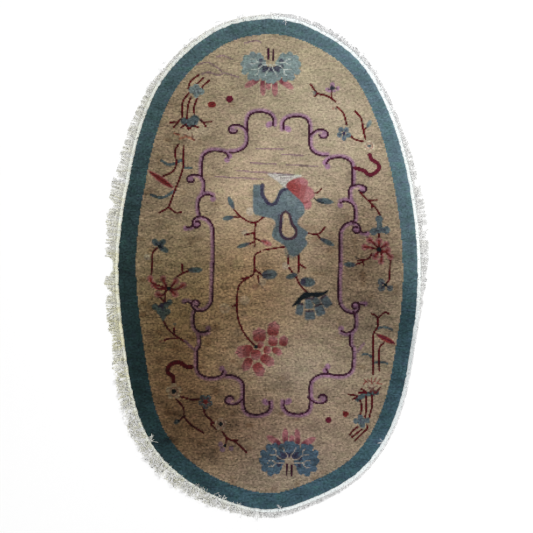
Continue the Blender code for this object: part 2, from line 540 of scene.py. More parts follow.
# Casts of green or, below 0, of pink: here the first amplitude is the green's, and the last isn't used.
GREEN_CASTS = tuple(Patch(*row) for row in (
    ("rosy field", 0, 0, 400, 700, -0.04, 0),
    ("olive left side", -290, -90, 110, 130, 0.09, 0),
    ("khaki head", 20, 580, 180, 90, 0.03, 0),
    ("rosy foot", 30, -540, 200, 130, -0.075, 0),
    ("rosy right side", 300, -60, 110, 200, -0.03, 0),
))


def box_mean(grid: Array) -> Array:
    """Mean of each value and its eight neighbours."""
    rows = np.roll(grid, 1, 0) + grid + np.roll(grid, -1, 0)
    return (np.roll(rows, 1, 1) + rows + np.roll(rows, -1, 1)) / 9


@dataclass(frozen=True)
class Grain:
    """One scale of the wool's mottling.

    Attributes:
        knots: height and width of one grain, in knots.
        field: spread in the field, in natural-log steps.
        border: spread in the border.
        evenness: share of the mean of its neighbours that is taken from each knot's own difference.
    """

    knots: tuple[float, float]
    field: float
    border: float
    evenness: float = 0.0


GRAINS = (
    Grain((1, 1), 0.24, 0.28, 0.6), Grain((1.6, 10), 0.05, 0.06),
    Grain((5, 9), 0.06, 0.08), Grain((12, 16), 0.05, 0.05),
)
# Darkness, from soiling and painted shade, from which the wool stains at all, and the most that counts.
SOIL_RANGE = (0.1, 1.0)


def cast(light: Array, warmth: Array, green: Any = 0.0, purple: Any = 0.0) -> Array:
    """Change of red, green and blue, in natural-log steps, that such changes of tone make."""
    return np.stack([light + 0.5 * warmth + purple, light + green, light - 0.5 * warmth + purple], axis=2)


class KnotChart:
    """The design as its knotter reads it: a colour for each knot, in rows across the rug."""

    PITCH = 3.6 * MM
    FAR_INSIDE = -0.2
    RIM_SEARCH = 0.09
    # How much a motif's dyes follow the field's light and warmth.
    LIGHT_RESPONSE = 0.95
    WARMTH_RESPONSE = 0.5
    # How much further a dark difference goes than a light one.
    DARK_SKEW = 0.12
    STAIN_GRAIN = (5, 7)
    STAIN_START = 1.0
    STAIN_DEPTH = 0.30
    # The border's wool is worn paler along its outer edge.
    EDGE_WEAR = 0.35
    EDGE_REACH = 16 * MM
    # The darker it is, the greener.
    DARK_GREENING = 0.12
    # The browner the field, the greener.
    GREENING = 0.04
    # How strongly the wool is mottled where it is clean, what soiling and painted shade add, and the least
    # and most.
    FIELD_MOTTLE, SOILED_MOTTLE, FIELD_MOTTLES = 0.75, 0.6, (0.6, 1.5)
    BORDER_MOTTLE, PALE_MOTTLE, BORDER_MOTTLES = 1.2, 0.4, (0.6, 1.0)
    # Small differences of hue between neighbouring knots, from green to purple, in the field and the border.
    HUE_GRAIN = (2, 4)
    HUE_SPREAD, BORDER_HUE_SPREAD = 0.02, 0.05
    HUE_AXIS = (-0.5, 0.5, -0.5)
    STAIN_HUE = (0.8, 1.0, 1.2)

    def __init__(self, outline: RugOutline) -> None:
        """Lays out the knots and ties the field and the border."""
        self.outline = outline
        half = np.abs(outline.points).max(0) + self.PITCH
        self.columns, self.rows = (2 * np.ceil(half / self.PITCH)).astype(int)
        self.x = (np.arange(self.columns) + 0.5 - self.columns / 2) * self.PITCH
        self.y = (np.arange(self.rows) + 0.5 - self.rows / 2) * self.PITCH
        self.grid_x, self.grid_y = np.meshgrid(self.x, self.y)
        self.colour = np.tile(Yarn.TAUPE.colour(), (self.rows, self.columns, 1))
        self.motif = np.zeros((self.rows, self.columns))
        self.outset = self._outsets()
        self.angle = np.degrees(np.arctan2(self.grid_y, self.grid_x)) % 360
        self.border = self.outset > -round_rug(self.angle, "width") * MM
        self.colour[self.border] = Yarn.SEA_GREEN.colour()

    def _outsets(self) -> Array:
        """How far each knot lies past the rug's edge, exact near the edge."""
        turns = np.arctan2(self.grid_y, self.grid_x)
        place = (turns + math.pi) / TURN * self.outline.SAMPLES
        radius = np.linalg.norm(self.outline.points, axis=1)[place.astype(int) % self.outline.SAMPLES]
        rough = np.hypot(self.grid_x, self.grid_y) - radius
        outset = np.where(rough > 0, 1.0, self.FAR_INSIDE)
        near = np.abs(rough) < self.RIM_SEARCH
        places = np.column_stack([self.grid_x[near], self.grid_y[near]])
        outset[near] = self.outline.nearest(places)[1]
        return outset

    def window(self, points: Array, margin: float) -> tuple[slice, slice]:
        """Rows and columns round some points, in metres."""
        low, high = points.min(0) - margin, points.max(0) + margin
        rows = slice(*np.searchsorted(self.y, [low[1], high[1]]))
        columns = slice(*np.searchsorted(self.x, [low[0], high[0]]))
        return rows, columns

    def dye(self, window: tuple[slice, slice], cover: Array, yarn: Yarn) -> None:
        """Ties a window of the field in a yarn, by the share of each knot that it covers."""
        share = np.where(self.border[window], 0.0, cover)
        kept = self.colour[window]
        self.colour[window] = kept + (yarn.colour() - kept) * share[..., None]
        dyed = 0.0 if yarn is Yarn.TAUPE else 1.0
        self.motif[window] += (dyed - self.motif[window]) * share

    def _field_wear(self) -> tuple[Array, Array, Array]:
        """Light, warmth and green of the field's wool, in natural-log steps; the light is partly painted
        light and shade.
        """
        light = np.full(self.motif.shape, BASE_LIGHT)
        warmth = np.full(self.motif.shape, BASE_WARMTH)
        for patch in FIELD_PATCHES:
            strength = patch.strength(self.grid_x, self.grid_y)
            light += patch.light * strength
            warmth += patch.warmth * strength
        green = self.GREENING * warmth
        for patch in GREEN_CASTS:
            green += patch.light * patch.strength(self.grid_x, self.grid_y)
        return light, warmth, green

    def _rim_wear(self) -> Array:
        """Change of red, green and blue in the border's wool: partly painted light and shade round the rug,
        partly fading and wear.
        """
        light, warmth = np.log(round_rug(self.angle, "share")), round_rug(self.angle, "warmth")
        # The border's painted light and shade, raised along its paler outer edge.
        worn = light + self.EDGE_WEAR * np.clip(1 + self.outset / self.EDGE_REACH, 0, 1)
        return cast(worn, warmth, purple=light * self.DARK_GREENING)

    def _mottling(self, light: Array) -> Array:
        """How strongly the wool is mottled, knot by knot."""
        border = self.BORDER_MOTTLE - self.PALE_MOTTLE * round_rug(self.angle, "share")
        inside = self.FIELD_MOTTLE - self.SOILED_MOTTLE * light
        border = np.clip(border, *self.BORDER_MOTTLES)
        return np.where(self.border, border, np.clip(inside, *self.FIELD_MOTTLES))

    def wear(self, generator: np.random.Generator) -> None:
        """Paints light and shade on the yarns, and bleaches, soils and mottles them, after the design is
        tied.
        """
        shape = self.motif.shape
        light, warmth, green = self._field_wear()
        # Darkness of the field, partly painted shade and partly soiling; stains gather where it is high.
        soil = np.clip(-light, *SOIL_RANGE)
        mottling = self._mottling(light)
        light *= 1 - (1 - self.LIGHT_RESPONSE) * self.motif
        warmth *= 1 - (1 - self.WARMTH_RESPONSE) * self.motif
        tint = np.where(self.border[..., None], self._rim_wear(), cast(light, warmth, green))
        for grain in GRAINS:
            spread = np.where(self.border, grain.border, grain.field) * mottling
            mottle = soft_noise(generator, shape, grain.knots)
            mottle -= grain.evenness * box_mean(mottle)
            tint += ((mottle - self.DARK_SKEW * mottle**2) * spread)[..., None]
        hue_spread = np.where(self.border, self.BORDER_HUE_SPREAD, self.HUE_SPREAD)
        hue = soft_noise(generator, shape, self.HUE_GRAIN) * hue_spread
        tint += hue[..., None] * np.array(self.HUE_AXIS)
        stains = soft_noise(generator, shape, self.STAIN_GRAIN) - self.STAIN_START
        stains = np.clip(stains, 0, None) * soil * ~self.border
        tint -= stains[..., None] * self.STAIN_DEPTH * np.array(self.STAIN_HUE)
        self.colour *= np.exp(tint)

    def corner_colours(self) -> Array:
        """Mean colour of the knots that meet at each corner of the chart."""
        padded = np.pad(self.colour, ((1, 1), (1, 1), (0, 0)), "edge")
        return (padded[:-1, :-1] + padded[1:, :-1] + padded[:-1, 1:] + padded[1:, 1:]) / 4

    def at(self, points: Array) -> Array:
        """Colours of the knots at these places, in metres."""
        columns = np.clip(((points[:, 0] - self.x[0]) / self.PITCH).round(), 0, self.columns - 1)
        rows = np.clip(((points[:, 1] - self.y[0]) / self.PITCH).round(), 0, self.rows - 1)
        return self.colour[rows.astype(int), columns.astype(int)]


# ---- Drawing on the chart ----

PATH_STEP = 1.5
# Width over which one yarn gives way to the next, in millimetres.
EDGE_BLEND = 1.2
# Slow wander of lines drawn by hand: depth and length in millimetres, and its start and pace on each axis.
WANDER_DEPTH = 0.9
WANDER_LENGTH = 46.0
WANDER_STARTS = (0.7, 2.0)
WANDER_PACE = 1.3
PROFILE_STEPS = 14
# Half width along a leaf and along a full petal, as shares of the greatest half width.
LEAF_PROFILE = ((0, 0.1), (0.15, 0.6), (0.4, 0.97), (0.65, 1), (0.87, 0.65), (1, 0.1))
PETAL_PROFILE = ((0, 0.45), (0.12, 0.8), (0.35, 1), (0.7, 0.97), (0.88, 0.72), (1, 0.2))
BELL_PROFILE = ((0, 0.7), (0.1, 0.92), (0.5, 1), (0.93, 1), (1, 0.7))


@dataclass(frozen=True)
class Pen:
    """Draws on the chart in millimetres from a zero, which may be turned or mirrored on the rug."""

    chart: KnotChart
    zero: Point = (0, 0)
    across: float = 1
    along: float = 1

    def place(self, points: Any) -> Array:
        """Places on the rug, in metres, with the slow wander of work by hand."""
        x = self.zero[0] + self.across * np.asarray(points, float)[:, 0]
        y = self.zero[1] + self.along * np.asarray(points, float)[:, 1]
        x = x + WANDER_DEPTH * np.sin(y / WANDER_LENGTH + WANDER_STARTS[0])
        y = y + WANDER_DEPTH * np.sin(x / WANDER_LENGTH * WANDER_PACE + WANDER_STARTS[1])
        return np.column_stack([x, y]) * MM

    def band(
        self, points: Any, width: float, yarn: Yarn, strength: float = 1.0, blend: float = EDGE_BLEND,
    ) -> None:
        """Ties a band along close points.

        Args:
            points: the band's middle line, in millimetres.
            width: its width.
            yarn: its yarn.
            strength: how much of each knot takes the dye.
            blend: width over which its edges fade.
        """
        path = self.place(points)
        window = self.chart.window(path, (width / 2 + blend) * MM)
        x, y = self.chart.grid_x[window], self.chart.grid_y[window]
        nearest = np.full(x.shape, np.inf)
        for px, py in path:
            nearest = np.minimum(nearest, (x - px) ** 2 + (y - py) ** 2)
        cover = np.clip((width / 2 - np.sqrt(nearest) / MM) / blend + 0.5, 0, 1)
        self.chart.dye(window, cover * strength, yarn)

    def stroke(self, points: Path, width: float, yarn: Yarn, strength: float = 1.0) -> None:
        """Ties a smooth stroke."""
        self.band(smooth_path(points, PATH_STEP), width, yarn, strength)

    def fill(self, points: Path, yarn: Yarn, strength: float = 1.0, curved: bool = True) -> None:
        """Fills a closed shape."""
        edge = self.place(smooth_path(points, PATH_STEP * 2, closed=True) if curved else points)
        window = self.chart.window(edge, self.chart.PITCH)
        x, y = self.chart.grid_x[window], self.chart.grid_y[window]
        ax, ay = edge.T[:, :, None, None]
        bx, by = np.roll(edge, -1, 0).T[:, :, None, None]
        slope = (bx - ax) / np.where(ay == by, 1.0, by - ay)
        thirds = np.array([-1, 0, 1]) / 3 * self.chart.PITCH
        cover = np.zeros(x.shape)
        for up in thirds:
            crosses = (ay > y + up) != (by > y + up)
            cut = ax + (y + up - ay) * slope
            for aside in thirds:
                cover += (crosses & (x + aside < cut)).sum(0) % 2 / 9
        self.chart.dye(window, cover * strength, yarn)

    def disc(
        self, at: Point, radius: float, yarn: Yarn, strength: float = 1.0, blend: float = EDGE_BLEND,
    ) -> None:
        """Ties a round spot."""
        self.band([at], 2 * radius, yarn, strength, blend)

    def petal(
        self, petal: tuple[Any, Any, float], yarn: Yarn, strength: float = 1.0,
        profile: Path = PETAL_PROFILE, part: float = 1.0,
    ) -> None:
        """Fills a petal or leaf.

        Args:
            petal: its base, its tip and its greatest width.
            yarn: its yarn.
            strength: how much of each knot takes the dye.
            profile: its half width along its length.
            part: share of the length that is filled, from the base.
        """
        start, end = np.array(petal[0], float), np.array(petal[1], float)
        axis = end - start
        side = np.array([-axis[1], axis[0]]) / np.linalg.norm(axis)
        t = np.linspace(0, part, PROFILE_STEPS)[:, None]
        half = petal[2] / 2 * np.interp(t, *np.transpose(profile))
        outline = np.vstack([start + axis * t + side * half, (start + axis * t - side * half)[::-1]])
        self.fill(outline, yarn, strength, curved=False)


@dataclass(frozen=True)
class Lines:
    """Smooth lines of one yarn."""

    runs: Sequence[Flat]
    yarn: Yarn = Yarn.MAROON
    width: float = 6.6
    strength: float = 1.0

    def weave(self, pen: Pen) -> None:
        """Ties the lines."""
        for run in self.runs:
            pen.stroke(np.reshape(run, (-1, 2)), self.width, self.yarn, self.strength)


def line(run: Flat, yarn: Yarn = Yarn.MAROON, width: float = 6.6, strength: float = 1.0) -> Lines:
    """A single smooth line."""
    return Lines((run,), yarn, width, strength)


@dataclass(frozen=True)
class Shape:
    """A filled closed shape."""

    points: Flat
    yarn: Yarn
    strength: float = 1.0
    curved: bool = True

    def weave(self, pen: Pen) -> None:
        """Fills the shape."""
        pen.fill(np.reshape(self.points, (-1, 2)), self.yarn, self.strength, self.curved)


@dataclass(frozen=True)
class Spot:
    """A round spot."""

    at: Point
    radius: float
    yarn: Yarn
    strength: float = 1.0
    blend: float = EDGE_BLEND

    def weave(self, pen: Pen) -> None:
        """Ties the spot."""
        pen.disc(self.at, self.radius, self.yarn, self.strength, self.blend)


@dataclass(frozen=True)
class Lobes:
    """Round lobes of one yarn that make a bud or a broad leaf: middle and radius of each."""

    lobes: Sequence[tuple[float, float, float]]
    yarn: Yarn
    strength: float = 1.0

    def weave(self, pen: Pen) -> None:
        """Ties the lobes."""
        for x, y, radius in self.lobes:
            pen.disc((x, y), radius, self.yarn, self.strength)


@dataclass(frozen=True)
class Leaf:
    """One leaf.

    Attributes:
        base: where it grows.
        tip: its tip.
        width: its greatest width, in millimetres.
        yarn: its yarn.
        full: whether it is as full as a petal.
        shade: strength of its dark base.
    """

    base: Point
    tip: Point
    width: float
    yarn: Yarn = Yarn.LEAF_TEAL
    full: bool = False
    shade: float = 0.5

    DARK_PART = 0.35

    def weave(self, pen: Pen) -> None:
        """Ties the leaf."""
        profile = PETAL_PROFILE if self.full else LEAF_PROFILE
        leaf = (self.base, self.tip, self.width)
        pen.petal(leaf, self.yarn, profile=profile)
        pen.petal(leaf, Yarn.INDIGO, self.shade, part=self.DARK_PART, profile=profile)


@dataclass(frozen=True)
class Blossom:
    """Small open blossom of round petals.

    Attributes:
        at: its middle.
        radius: distance of the petals' tips from the middle.
        petals: how many it has.
        petal: yarn of the petals.
        heart: yarn of the middle and of the lines between it and the petals.
        heart_radius: radius of the middle.
        ring: yarn of a ring round the middle, in a pale blossom without lines.
        turn: direction of the first petal, as a share of a turn from +X.
    """

    at: Point
    radius: float
    petals: int
    petal: Yarn
    heart: Yarn
    heart_radius: float
    ring: Yarn | None = None
    turn: float = 0.25

    # Shares of the radius: the petals' middles, their own radius, and the ends of the lines.
    PETAL_REACH, PETAL_SIZE, LINE_REACH = 0.62, 0.36, 0.7
    LINE_WIDTH, LINE_STRENGTH = 3.6, 0.7
    PALE_STRENGTH = 0.85
    # A pale blossom's ring: how far past the heart it and the light inside it reach, and their strengths.
    RING = ((7, 0.6), (4.5, 0.5))

    def weave(self, pen: Pen) -> None:
        """Ties the blossom."""
        middle = np.array(self.at, float)
        strength = self.PALE_STRENGTH if self.ring else 1.0
        for index in range(self.petals):
            turn = TURN * (self.turn + index / self.petals)
            way = np.array([math.cos(turn), math.sin(turn)]) * self.radius
            pen.disc(middle + way * self.PETAL_REACH, self.radius * self.PETAL_SIZE, self.petal, strength)
            if not self.ring:
                line_end = middle + way * self.LINE_REACH
                pen.stroke((middle, line_end), self.LINE_WIDTH, self.heart, self.LINE_STRENGTH)
        if self.ring:
            for yarn, (past, cover) in zip((self.ring, self.petal), self.RING):
                pen.disc(self.at, self.heart_radius + past, yarn, cover)
        pen.disc(self.at, self.heart_radius, self.heart)


@dataclass(frozen=True)
class RaggedBloom:
    """Ragged blossom about a dark heart: red arms, each with a rose lobe at its tip.

    Attributes:
        at: its heart.
        arms: bend and tip of each arm.
        heart_radius: radius of the heart.
    """

    at: Point
    arms: Sequence[tuple[Point, Point]]
    heart_radius: float

    # Widths of the rose arms, of the red ones and of their dark roots, and the lobes' radius.
    ROSE_ARM, RED_ARM, DARK_ROOT, LOBE = 12, 6.4, 5.2, 10.5
    ARM_STRENGTH = 0.9
    # The red heart of each lobe: its radius as a share of the lobe's, and its strength.
    LOBE_HEART = (0.6, 0.4)

    def weave(self, pen: Pen) -> None:
        """Ties the blossom."""
        for bend, tip in self.arms:
            pen.stroke((bend, tip), self.ROSE_ARM, Yarn.ROSE, self.ARM_STRENGTH)
            pen.disc(tip, self.LOBE, Yarn.ROSE)
            pen.disc(tip, self.LOBE * self.LOBE_HEART[0], Yarn.SCARLET, self.LOBE_HEART[1])
        for bend, tip in self.arms:
            pen.stroke((self.at, bend, tip), self.RED_ARM, Yarn.SCARLET)
            pen.stroke((self.at, bend), self.DARK_ROOT, Yarn.MAROON)
        pen.disc(self.at, self.heart_radius, Yarn.INK)


@dataclass(frozen=True)
class Bloom:
    """Large bloom of full petals, each darker at its base.

    Attributes:
        petals: base, tip and width of each.
        tip: yarn of the petals.
        base: yarn of their bases.
        shading: shares of a petal's length that take the base's yarn, one wash for each.
        gap: width of the pale line round each petal, in millimetres.
        profile: half width along a petal.
        ragged: whether each petal ends in three teeth.
    """

    petals: Sequence[tuple[Point, Point, float]]
    tip: Yarn
    base: Yarn
    shading: Sequence[float] = (0.25, 0.48, 0.72)
    gap: float = 3.6
    profile: Path = PETAL_PROFILE
    ragged: bool = False

    WASH, GAP_STRENGTH = 0.5, 0.35
    # Along and across a ragged petal, as shares of its length and width: the tips of its three teeth.
    TEETH = ((0.88, -0.26), (1.0, 0.0), (0.86, 0.26))
    # The same shares: length of its body, and the teeth's roots and width.
    BODY, TOOTH_ROOT, TOOTH_WIDTH = 0.82, 0.4, 0.5

    def weave(self, pen: Pen) -> None:
        """Ties the bloom."""
        for base, tip, width in self.petals:
            start, reach = np.array(base, float), np.array(tip, float) - base
            aside = np.array([-reach[1], reach[0]]) / np.linalg.norm(reach) * width
            if self.gap:
                pen.petal((base, tip, width + 2 * self.gap), Yarn.CREAM, self.GAP_STRENGTH)
            body = (base, start + reach * self.BODY, width) if self.ragged else (base, tip, width)
            for along, across in self.TEETH if self.ragged else ():
                root = start + reach * self.TOOTH_ROOT + aside * across
                point = start + reach * along + aside * across
                pen.petal((root, point, width * self.TOOTH_WIDTH), self.tip, profile=LEAF_PROFILE)
            pen.petal(body, self.tip, profile=self.profile)
            for part in self.shading:
                pen.petal(body, self.base, self.WASH, part=part, profile=self.profile)


@dataclass(frozen=True)
class Motif:
    """A named motif: its parts, tied in order."""

    name: str
    parts: Sequence[Any]

    def weave(self, pen: Pen) -> None:
        """Ties the parts."""
        for part in self.parts:
            part.weave(pen)


# ---- The scroll frame and the palmettes ----


@dataclass(frozen=True)
class ScrollRun:
    """One run of the scroll frame, drawn for a quarter with +X outwards.

    Attributes:
        points: its dark line.
        band: the lavender band's width, in millimetres.
        side: 1 where the band lies to the left of the line as it is drawn, and -1 to the right.
        knobs: small round ends of the band.
    """

    points: Path
    band: float
    side: int
    knobs: Path = ()


class ScrollFrame:
    """Cloud-scroll frame: one quarter, tied four times with each run a little shifted by hand."""

    ARCH = ScrollRun(
        ((-19, 427), (-19, 446), (-6, 461), (25, 467), (52, 458), (60, 432), (60, 378), (72, 356),
         (95, 345), (116, 344)), 11, 1, ((-10, 431), (-4, 427)))
    ARCH_CURL = ScrollRun(
        ((60, 410), (84, 428), (108, 428), (119, 417), (112, 404), (98, 404), (92, 412)), 8, -1,
        ((106, 416),))
    SHOULDER = ScrollRun(
        ((121, 329), (131, 343), (165, 348), (192, 338), (201, 315), (201, 268), (193, 252), (193, 223)),
        11, 1, ((125, 321), (118, 333), (198, 217)))
    SHOULDER_CURL = ScrollRun(
        ((200, 269), (226, 274), (246, 267), (245, 253), (233, 250), (226, 256)), 8, -1, ((236, 263),))
    WAIST = ScrollRun(
        ((168, 208), (184, 213), (203, 204), (210, 188), (210, 162), (206, 147)), 11, 1, ((167, 200),))
    SIDE = ScrollRun(
        ((220, 128), (211, 129), (207, 119), (216, 110), (228, 114), (231, 126), (223, 139), (206, 145),
         (186, 139), (172, 124), (166, 105), (165, 60), (165, -4)), 11, 1, ((219, 120),))
    TAIL = ScrollRun(((231, 116), (239, 111), (249, 112)), 10, -1, ((252, 108),))
    RUNS = (ARCH, ARCH_CURL, SHOULDER, SHOULDER_CURL, WAIST, SIDE, TAIL)
    # For each quarter, its mirroring and the shift of each run, in the runs' order; a run may be left out.
    QUARTERS = (
        (-1, 1, ((0, 0), (0, 0), (0, 0), (0, 0), (0, 0), (0, 0), (0, 0))),
        (1, 1, ((70, -12), (69, -16), (61, -22), (59, -30), (60, -21), (57, -16), (57, -15))),
        (1, -1, ((72, -2), (67, 4), (62, -1), None, (61, 2), (56, 10), (52, 16))),
        (-1, -1, ((11, 1), (11, 7), (15, 4), None, (16, 1), (2, 4), (4, 10))),
    )
    BAND_STRENGTH, BAND_BLEND, LINE_WIDTH = 0.9, 7.0, 6.6
    # The knobs' radius as a share of the band's width.
    KNOB = 0.8

    def weave(self, chart: KnotChart) -> None:
        """Ties the bands of each quarter first, and the dark lines over them."""
        for across, along, shifts in self.QUARTERS:
            placed = [(run, Pen(chart, (across * shift[0], along * shift[1]), across, along))
                      for run, shift in zip(self.RUNS, shifts) if shift]
            for run, pen in placed:
                self._band(run, pen)
            for run, pen in placed:
                pen.stroke(run.points, self.LINE_WIDTH, Yarn.PLUM)

    def _band(self, run: ScrollRun, pen: Pen) -> None:
        """Ties the lavender beside a dark line."""
        path = smooth_path(run.points, PATH_STEP)
        forward = np.gradient(path, axis=0)
        forward /= np.linalg.norm(forward, axis=1)[:, None]
        aside = np.column_stack([-forward[:, 1], forward[:, 0]]) * run.side
        pen.band(path + aside * run.band / 2, run.band, Yarn.LAVENDER, self.BAND_STRENGTH, self.BAND_BLEND)
        for knob in run.knobs:
            pen.disc(knob, run.band * self.KNOB, Yarn.LAVENDER, self.BAND_STRENGTH, self.BAND_BLEND / 2)


@dataclass(frozen=True)
class LotusPalmette:
    """Lotus palmette: scalloped wings with branching veins, two stems and a fan of petals.

    Attributes:
        trunk: where its stems meet the wings.
        turn: 1 with the fan towards -Y, and -1 turned half round.
        size: its size as a share of the drawing's.
        hang: stretch of the wings' tips beside the stems.
        leaf: yarn of the wings.
        vein: yarn of the veins.
    """

    trunk: Point
    turn: int
    size: float
    hang: float
    leaf: Yarn
    vein: Yarn

    # Middle and radius of each lobe of one wing, of its scallops, and of the shades by the trunk.
    LOBES = ((58, -34, 17), (76, -13, 15), (83, 6, 11), (71, 18, 13), (54, 24, 13), (36, 18, 13),
             (5, -45, 14), (50, -8, 26), (30, -20, 22), (28, 4, 13), (12, -30, 20))
    SCALLOPS = ((47, -45, 11), (67, -42, 11), (85, -23, 11), (88, 1, 11), (80, 21, 11), (60, 32, 11),
                (39, 28, 10), (8, -54, 10), (24, -44, 10))
    SHADES = ((19, -13, 9), (34, -7, 8), (6, -17, 9), (33, 11, 7), (24, -23, 6))
    VEINS = (((9, -4), (28, -5), (42, -16), (64, -17)), ((42, -16), (43, -30), (51, -37)),
             ((18, 6), (44, 6), (56, 0), (66, 1)), ((44, 6), (53, 16), (66, 17)),
             ((2, -3), (8, -20), (15, -28), (20, -40)))
    FAN = (((-38, -48), (-85, -74), 21), ((-27, -52), (-24, -104), 19), ((-8, -54), (-7, -84), 18),
           ((13, -54), (14, -106), 19), ((28, -50), (74, -79), 21))
    STEMS = (((-8, 50), (-8, 16)), ((8, 47), (7, 12)))
    FAN_SHADING = (0.3, 0.42)
    STEM_WIDTH, SHADE_STRENGTH = 6.0, 0.75
    VEIN_WIDTH, VEIN_STRENGTH = 3.2, 0.7

    def weave(self, chart: KnotChart) -> None:
        """Ties the palmette."""
        pens = [Pen(chart, self.trunk, side * self.size, self.turn * self.size)
                for side in (self.turn, -self.turn)]
        Bloom(self.FAN, Yarn.ROSE, Yarn.CRIMSON, self.FAN_SHADING).weave(pens[0])
        for pen in pens:
            for x, y, radius in self.LOBES + self.SCALLOPS:
                pen.disc((x, self._hung(y)), radius * self.size, self.leaf)
        for pen in pens:
            for x, y, radius in self.SHADES:
                pen.disc((x, self._hung(y)), radius, Yarn.INDIGO, self.SHADE_STRENGTH)
            for vein in self.VEINS:
                hung = [(x, self._hung(y)) for x, y in vein]
                pen.stroke(hung, self.VEIN_WIDTH, self.vein, self.VEIN_STRENGTH)
        for stem in self.STEMS:
            pens[0].stroke(stem, self.STEM_WIDTH, Yarn.PLUM)

    def _hung(self, y: float) -> float:
        """Lets the parts beside the stems hang lower."""
        return y * self.hang if y > 0 else y


# ---- The free motifs, in the order in which they are tied ----

FAINT = Motif("cloud and water lines", (
    Lines(((-157, 639, -137, 643, -109, 632), (-218, 614, -184, 621, -153, 605, -143, 595),
        (-204, 585, -179, 591, -153, 583, -131, 589, -88, 576), (-70, 681, -36, 688, -20, 683)),
        Yarn.MAUVE, 5.2, 0.75),
    Lines(((-35, 354, 49, 353), (43, 337, 108, 335), (-53, 310, 27, 306), (58, 306, 155, 301),
        (-94, 287, -35, 282, 77, 275), (-162, 270, -97, 265, -13, 260)), Yarn.MAUVE, 4.4, 0.8),
    line((100, 302, 122, 302), Yarn.SOOT, 7.0, 0.6),
))
SMUDGES = Motif("places where dye has run", (
    Lobes(((-53, 160, 12), (-69, 94, 10), (-373, 20, 10), (57, -7, 12)), Yarn.SKY, 0.3),
    Lobes(((-16, -58, 13), (-69, -114, 15), (-131, -138, 16)), Yarn.SKY, 0.25),
    Lobes(((-91, -2, 20),), Yarn.MOSS, 0.25),
    Lobes(((-265, -14, 14), (-333, -250, 22), (-280, 383, 18)), Yarn.MOSS, 0.2),
    Lobes(((96, 284, 12),), Yarn.MOSS, 0.3),
    Lobes(((257, 271, 16), (257, 197, 14), (-103, -132, 12), (-91, -213, 13)), Yarn.SOOT, 0.3),
    Lobes(((-72, -157, 12),), Yarn.SOOT, 0.25),
))
POOL_REEDS = Motif("reeds over a pool", (
    Spot((-225, 412), 34, Yarn.CREAM, 0.35, 26), Spot((-190, 412), 16, Yarn.CREAM, 0.2, 12),
    Shape((-268, 436, -258, 450, -240, 448, -226, 459, -210, 450, -218, 427, -246, 424), Yarn.SLATE_BLUE),
    Lines(((-261, 437, -246, 444, -237, 431), (-232, 445, -218, 437)), Yarn.INK, 4, 0.35),
    Lines(((-213, 582, -237, 562, -244, 540), (-198, 573, -220, 552), (-179, 566, -199, 548, -201, 542))),
    Lines(((-242, 526, -260, 498, -263, 451), (-235, 514, -244, 486, -247, 448),
        (-216, 509, -225, 483, -225, 464))),
    Lines(((-269, 444, -289, 420), (-283, 437, -300, 436), (-206, 444, -198, 437, -171, 438),
        (-198, 437, -190, 424), (-266, 419, -251, 427, -243, 413), (-238, 416, -230, 425, -213, 420))),
    Lines(((-224, 457, -212, 447, -201, 439), (-265, 447, -263, 436, -247, 424, -228, 424),
        (-222, 436, -227, 424)), Yarn.INK, 5, 0.7),
    Lines(((-287, 402, -272, 397), (-272, 385, -258, 389), (-252, 391, -240, 388, -227, 381)), Yarn.RUST,
        7, 0.8),
    Lines(((-284, 402, -274, 398), (-256, 397, -249, 394), (-232, 398, -231, 391), (-232, 385, -226, 381)),
        Yarn.MAROON, 5, 0.7),
    Lobes(((-232, 535, 11), (-219, 533, 15), (-205, 531, 11), (-220, 544, 10), (-219, 520, 9)),
        Yarn.PALE_BLUE),
    Lines(((-228, 538, -221, 526), (-212, 539, -214, 526), (-221, 544, -218, 536)), Yarn.INDIGO, 3.6, 0.5),
))
LOW_REEDS = Motif("reeds over a pool, lower right", (
    line((280, -419, 307, -404, 339, -399), Yarn.LEAF_TEAL, 16),
    Lines(((279, -505, 266, -515, 255, -529), (291, -513, 260, -538),
        (308, -500, 307, -512, 293, -525, 270, -548))),
    Lines(((289, -423, 292, -443, 288, -472), (306, -410, 307, -443, 303, -474),
        (324, -407, 325, -437, 314, -480))),
    Lines(((252, -405, 279, -410, 266, -420), (291, -387, 308, -398, 285, -399),
        (315, -382, 324, -388, 332, -382), (319, -397, 329, -390, 335, -400, 350, -383))),
    Spot((326, -364), 30, Yarn.CREAM, 0.2, 14),
    Lines(((297, -373, 307, -365), (302, -359, 311, -367), (311, -356, 319, -365), (322, -353, 325, -371),
        (336, -354, 332, -365), (350, -359, 339, -370), (342, -370, 356, -373)), Yarn.SCARLET, 4.8, 0.8),
    Lines(((277, -418, 286, -425), (311, -399, 331, -405)), Yarn.INK, 5, 0.6),
    Lobes(((273, -487, 8.5), (283, -487, 8), (291, -488, 13), (309, -485, 9), (288, -475, 8.5),
        (294, -501, 8)), Yarn.SLATE_BLUE),
    Lines(((284, -484, 290, -494), (300, -485, 295, -495), (289, -480, 290, -487)), Yarn.INDIGO, 3.6, 0.6),
))
LEFT_STALKS = Motif("jointed stalks, left", (
    Lines(((-328, 319, -302, 305, -262, 320), (-358, 213, -324, 204, -285, 224)), Yarn.LEAF_TEAL, 9),
    line((-261, 302, -251, 294, -233, 294), Yarn.LEAF_TEAL, 7),
    Lines(((-275, 368, -286, 346, -282, 309, -292, 285, -324, 269),
        (-258, 362, -261, 327, -262, 290, -282, 233, -304, 174), (-304, 174, -317, 166, -333, 157),
        (-304, 174, -294, 166, -280, 156, -265, 158))),
    Leaf((-369, 288), (-288, 232), 20, Yarn.ROSE, shade=0),
    Leaf((-367, 287), (-290, 233), 15, Yarn.SCARLET, shade=0),
    line((-362, 282, -330, 262, -294, 236), Yarn.MAROON, 5, 0.7),
))
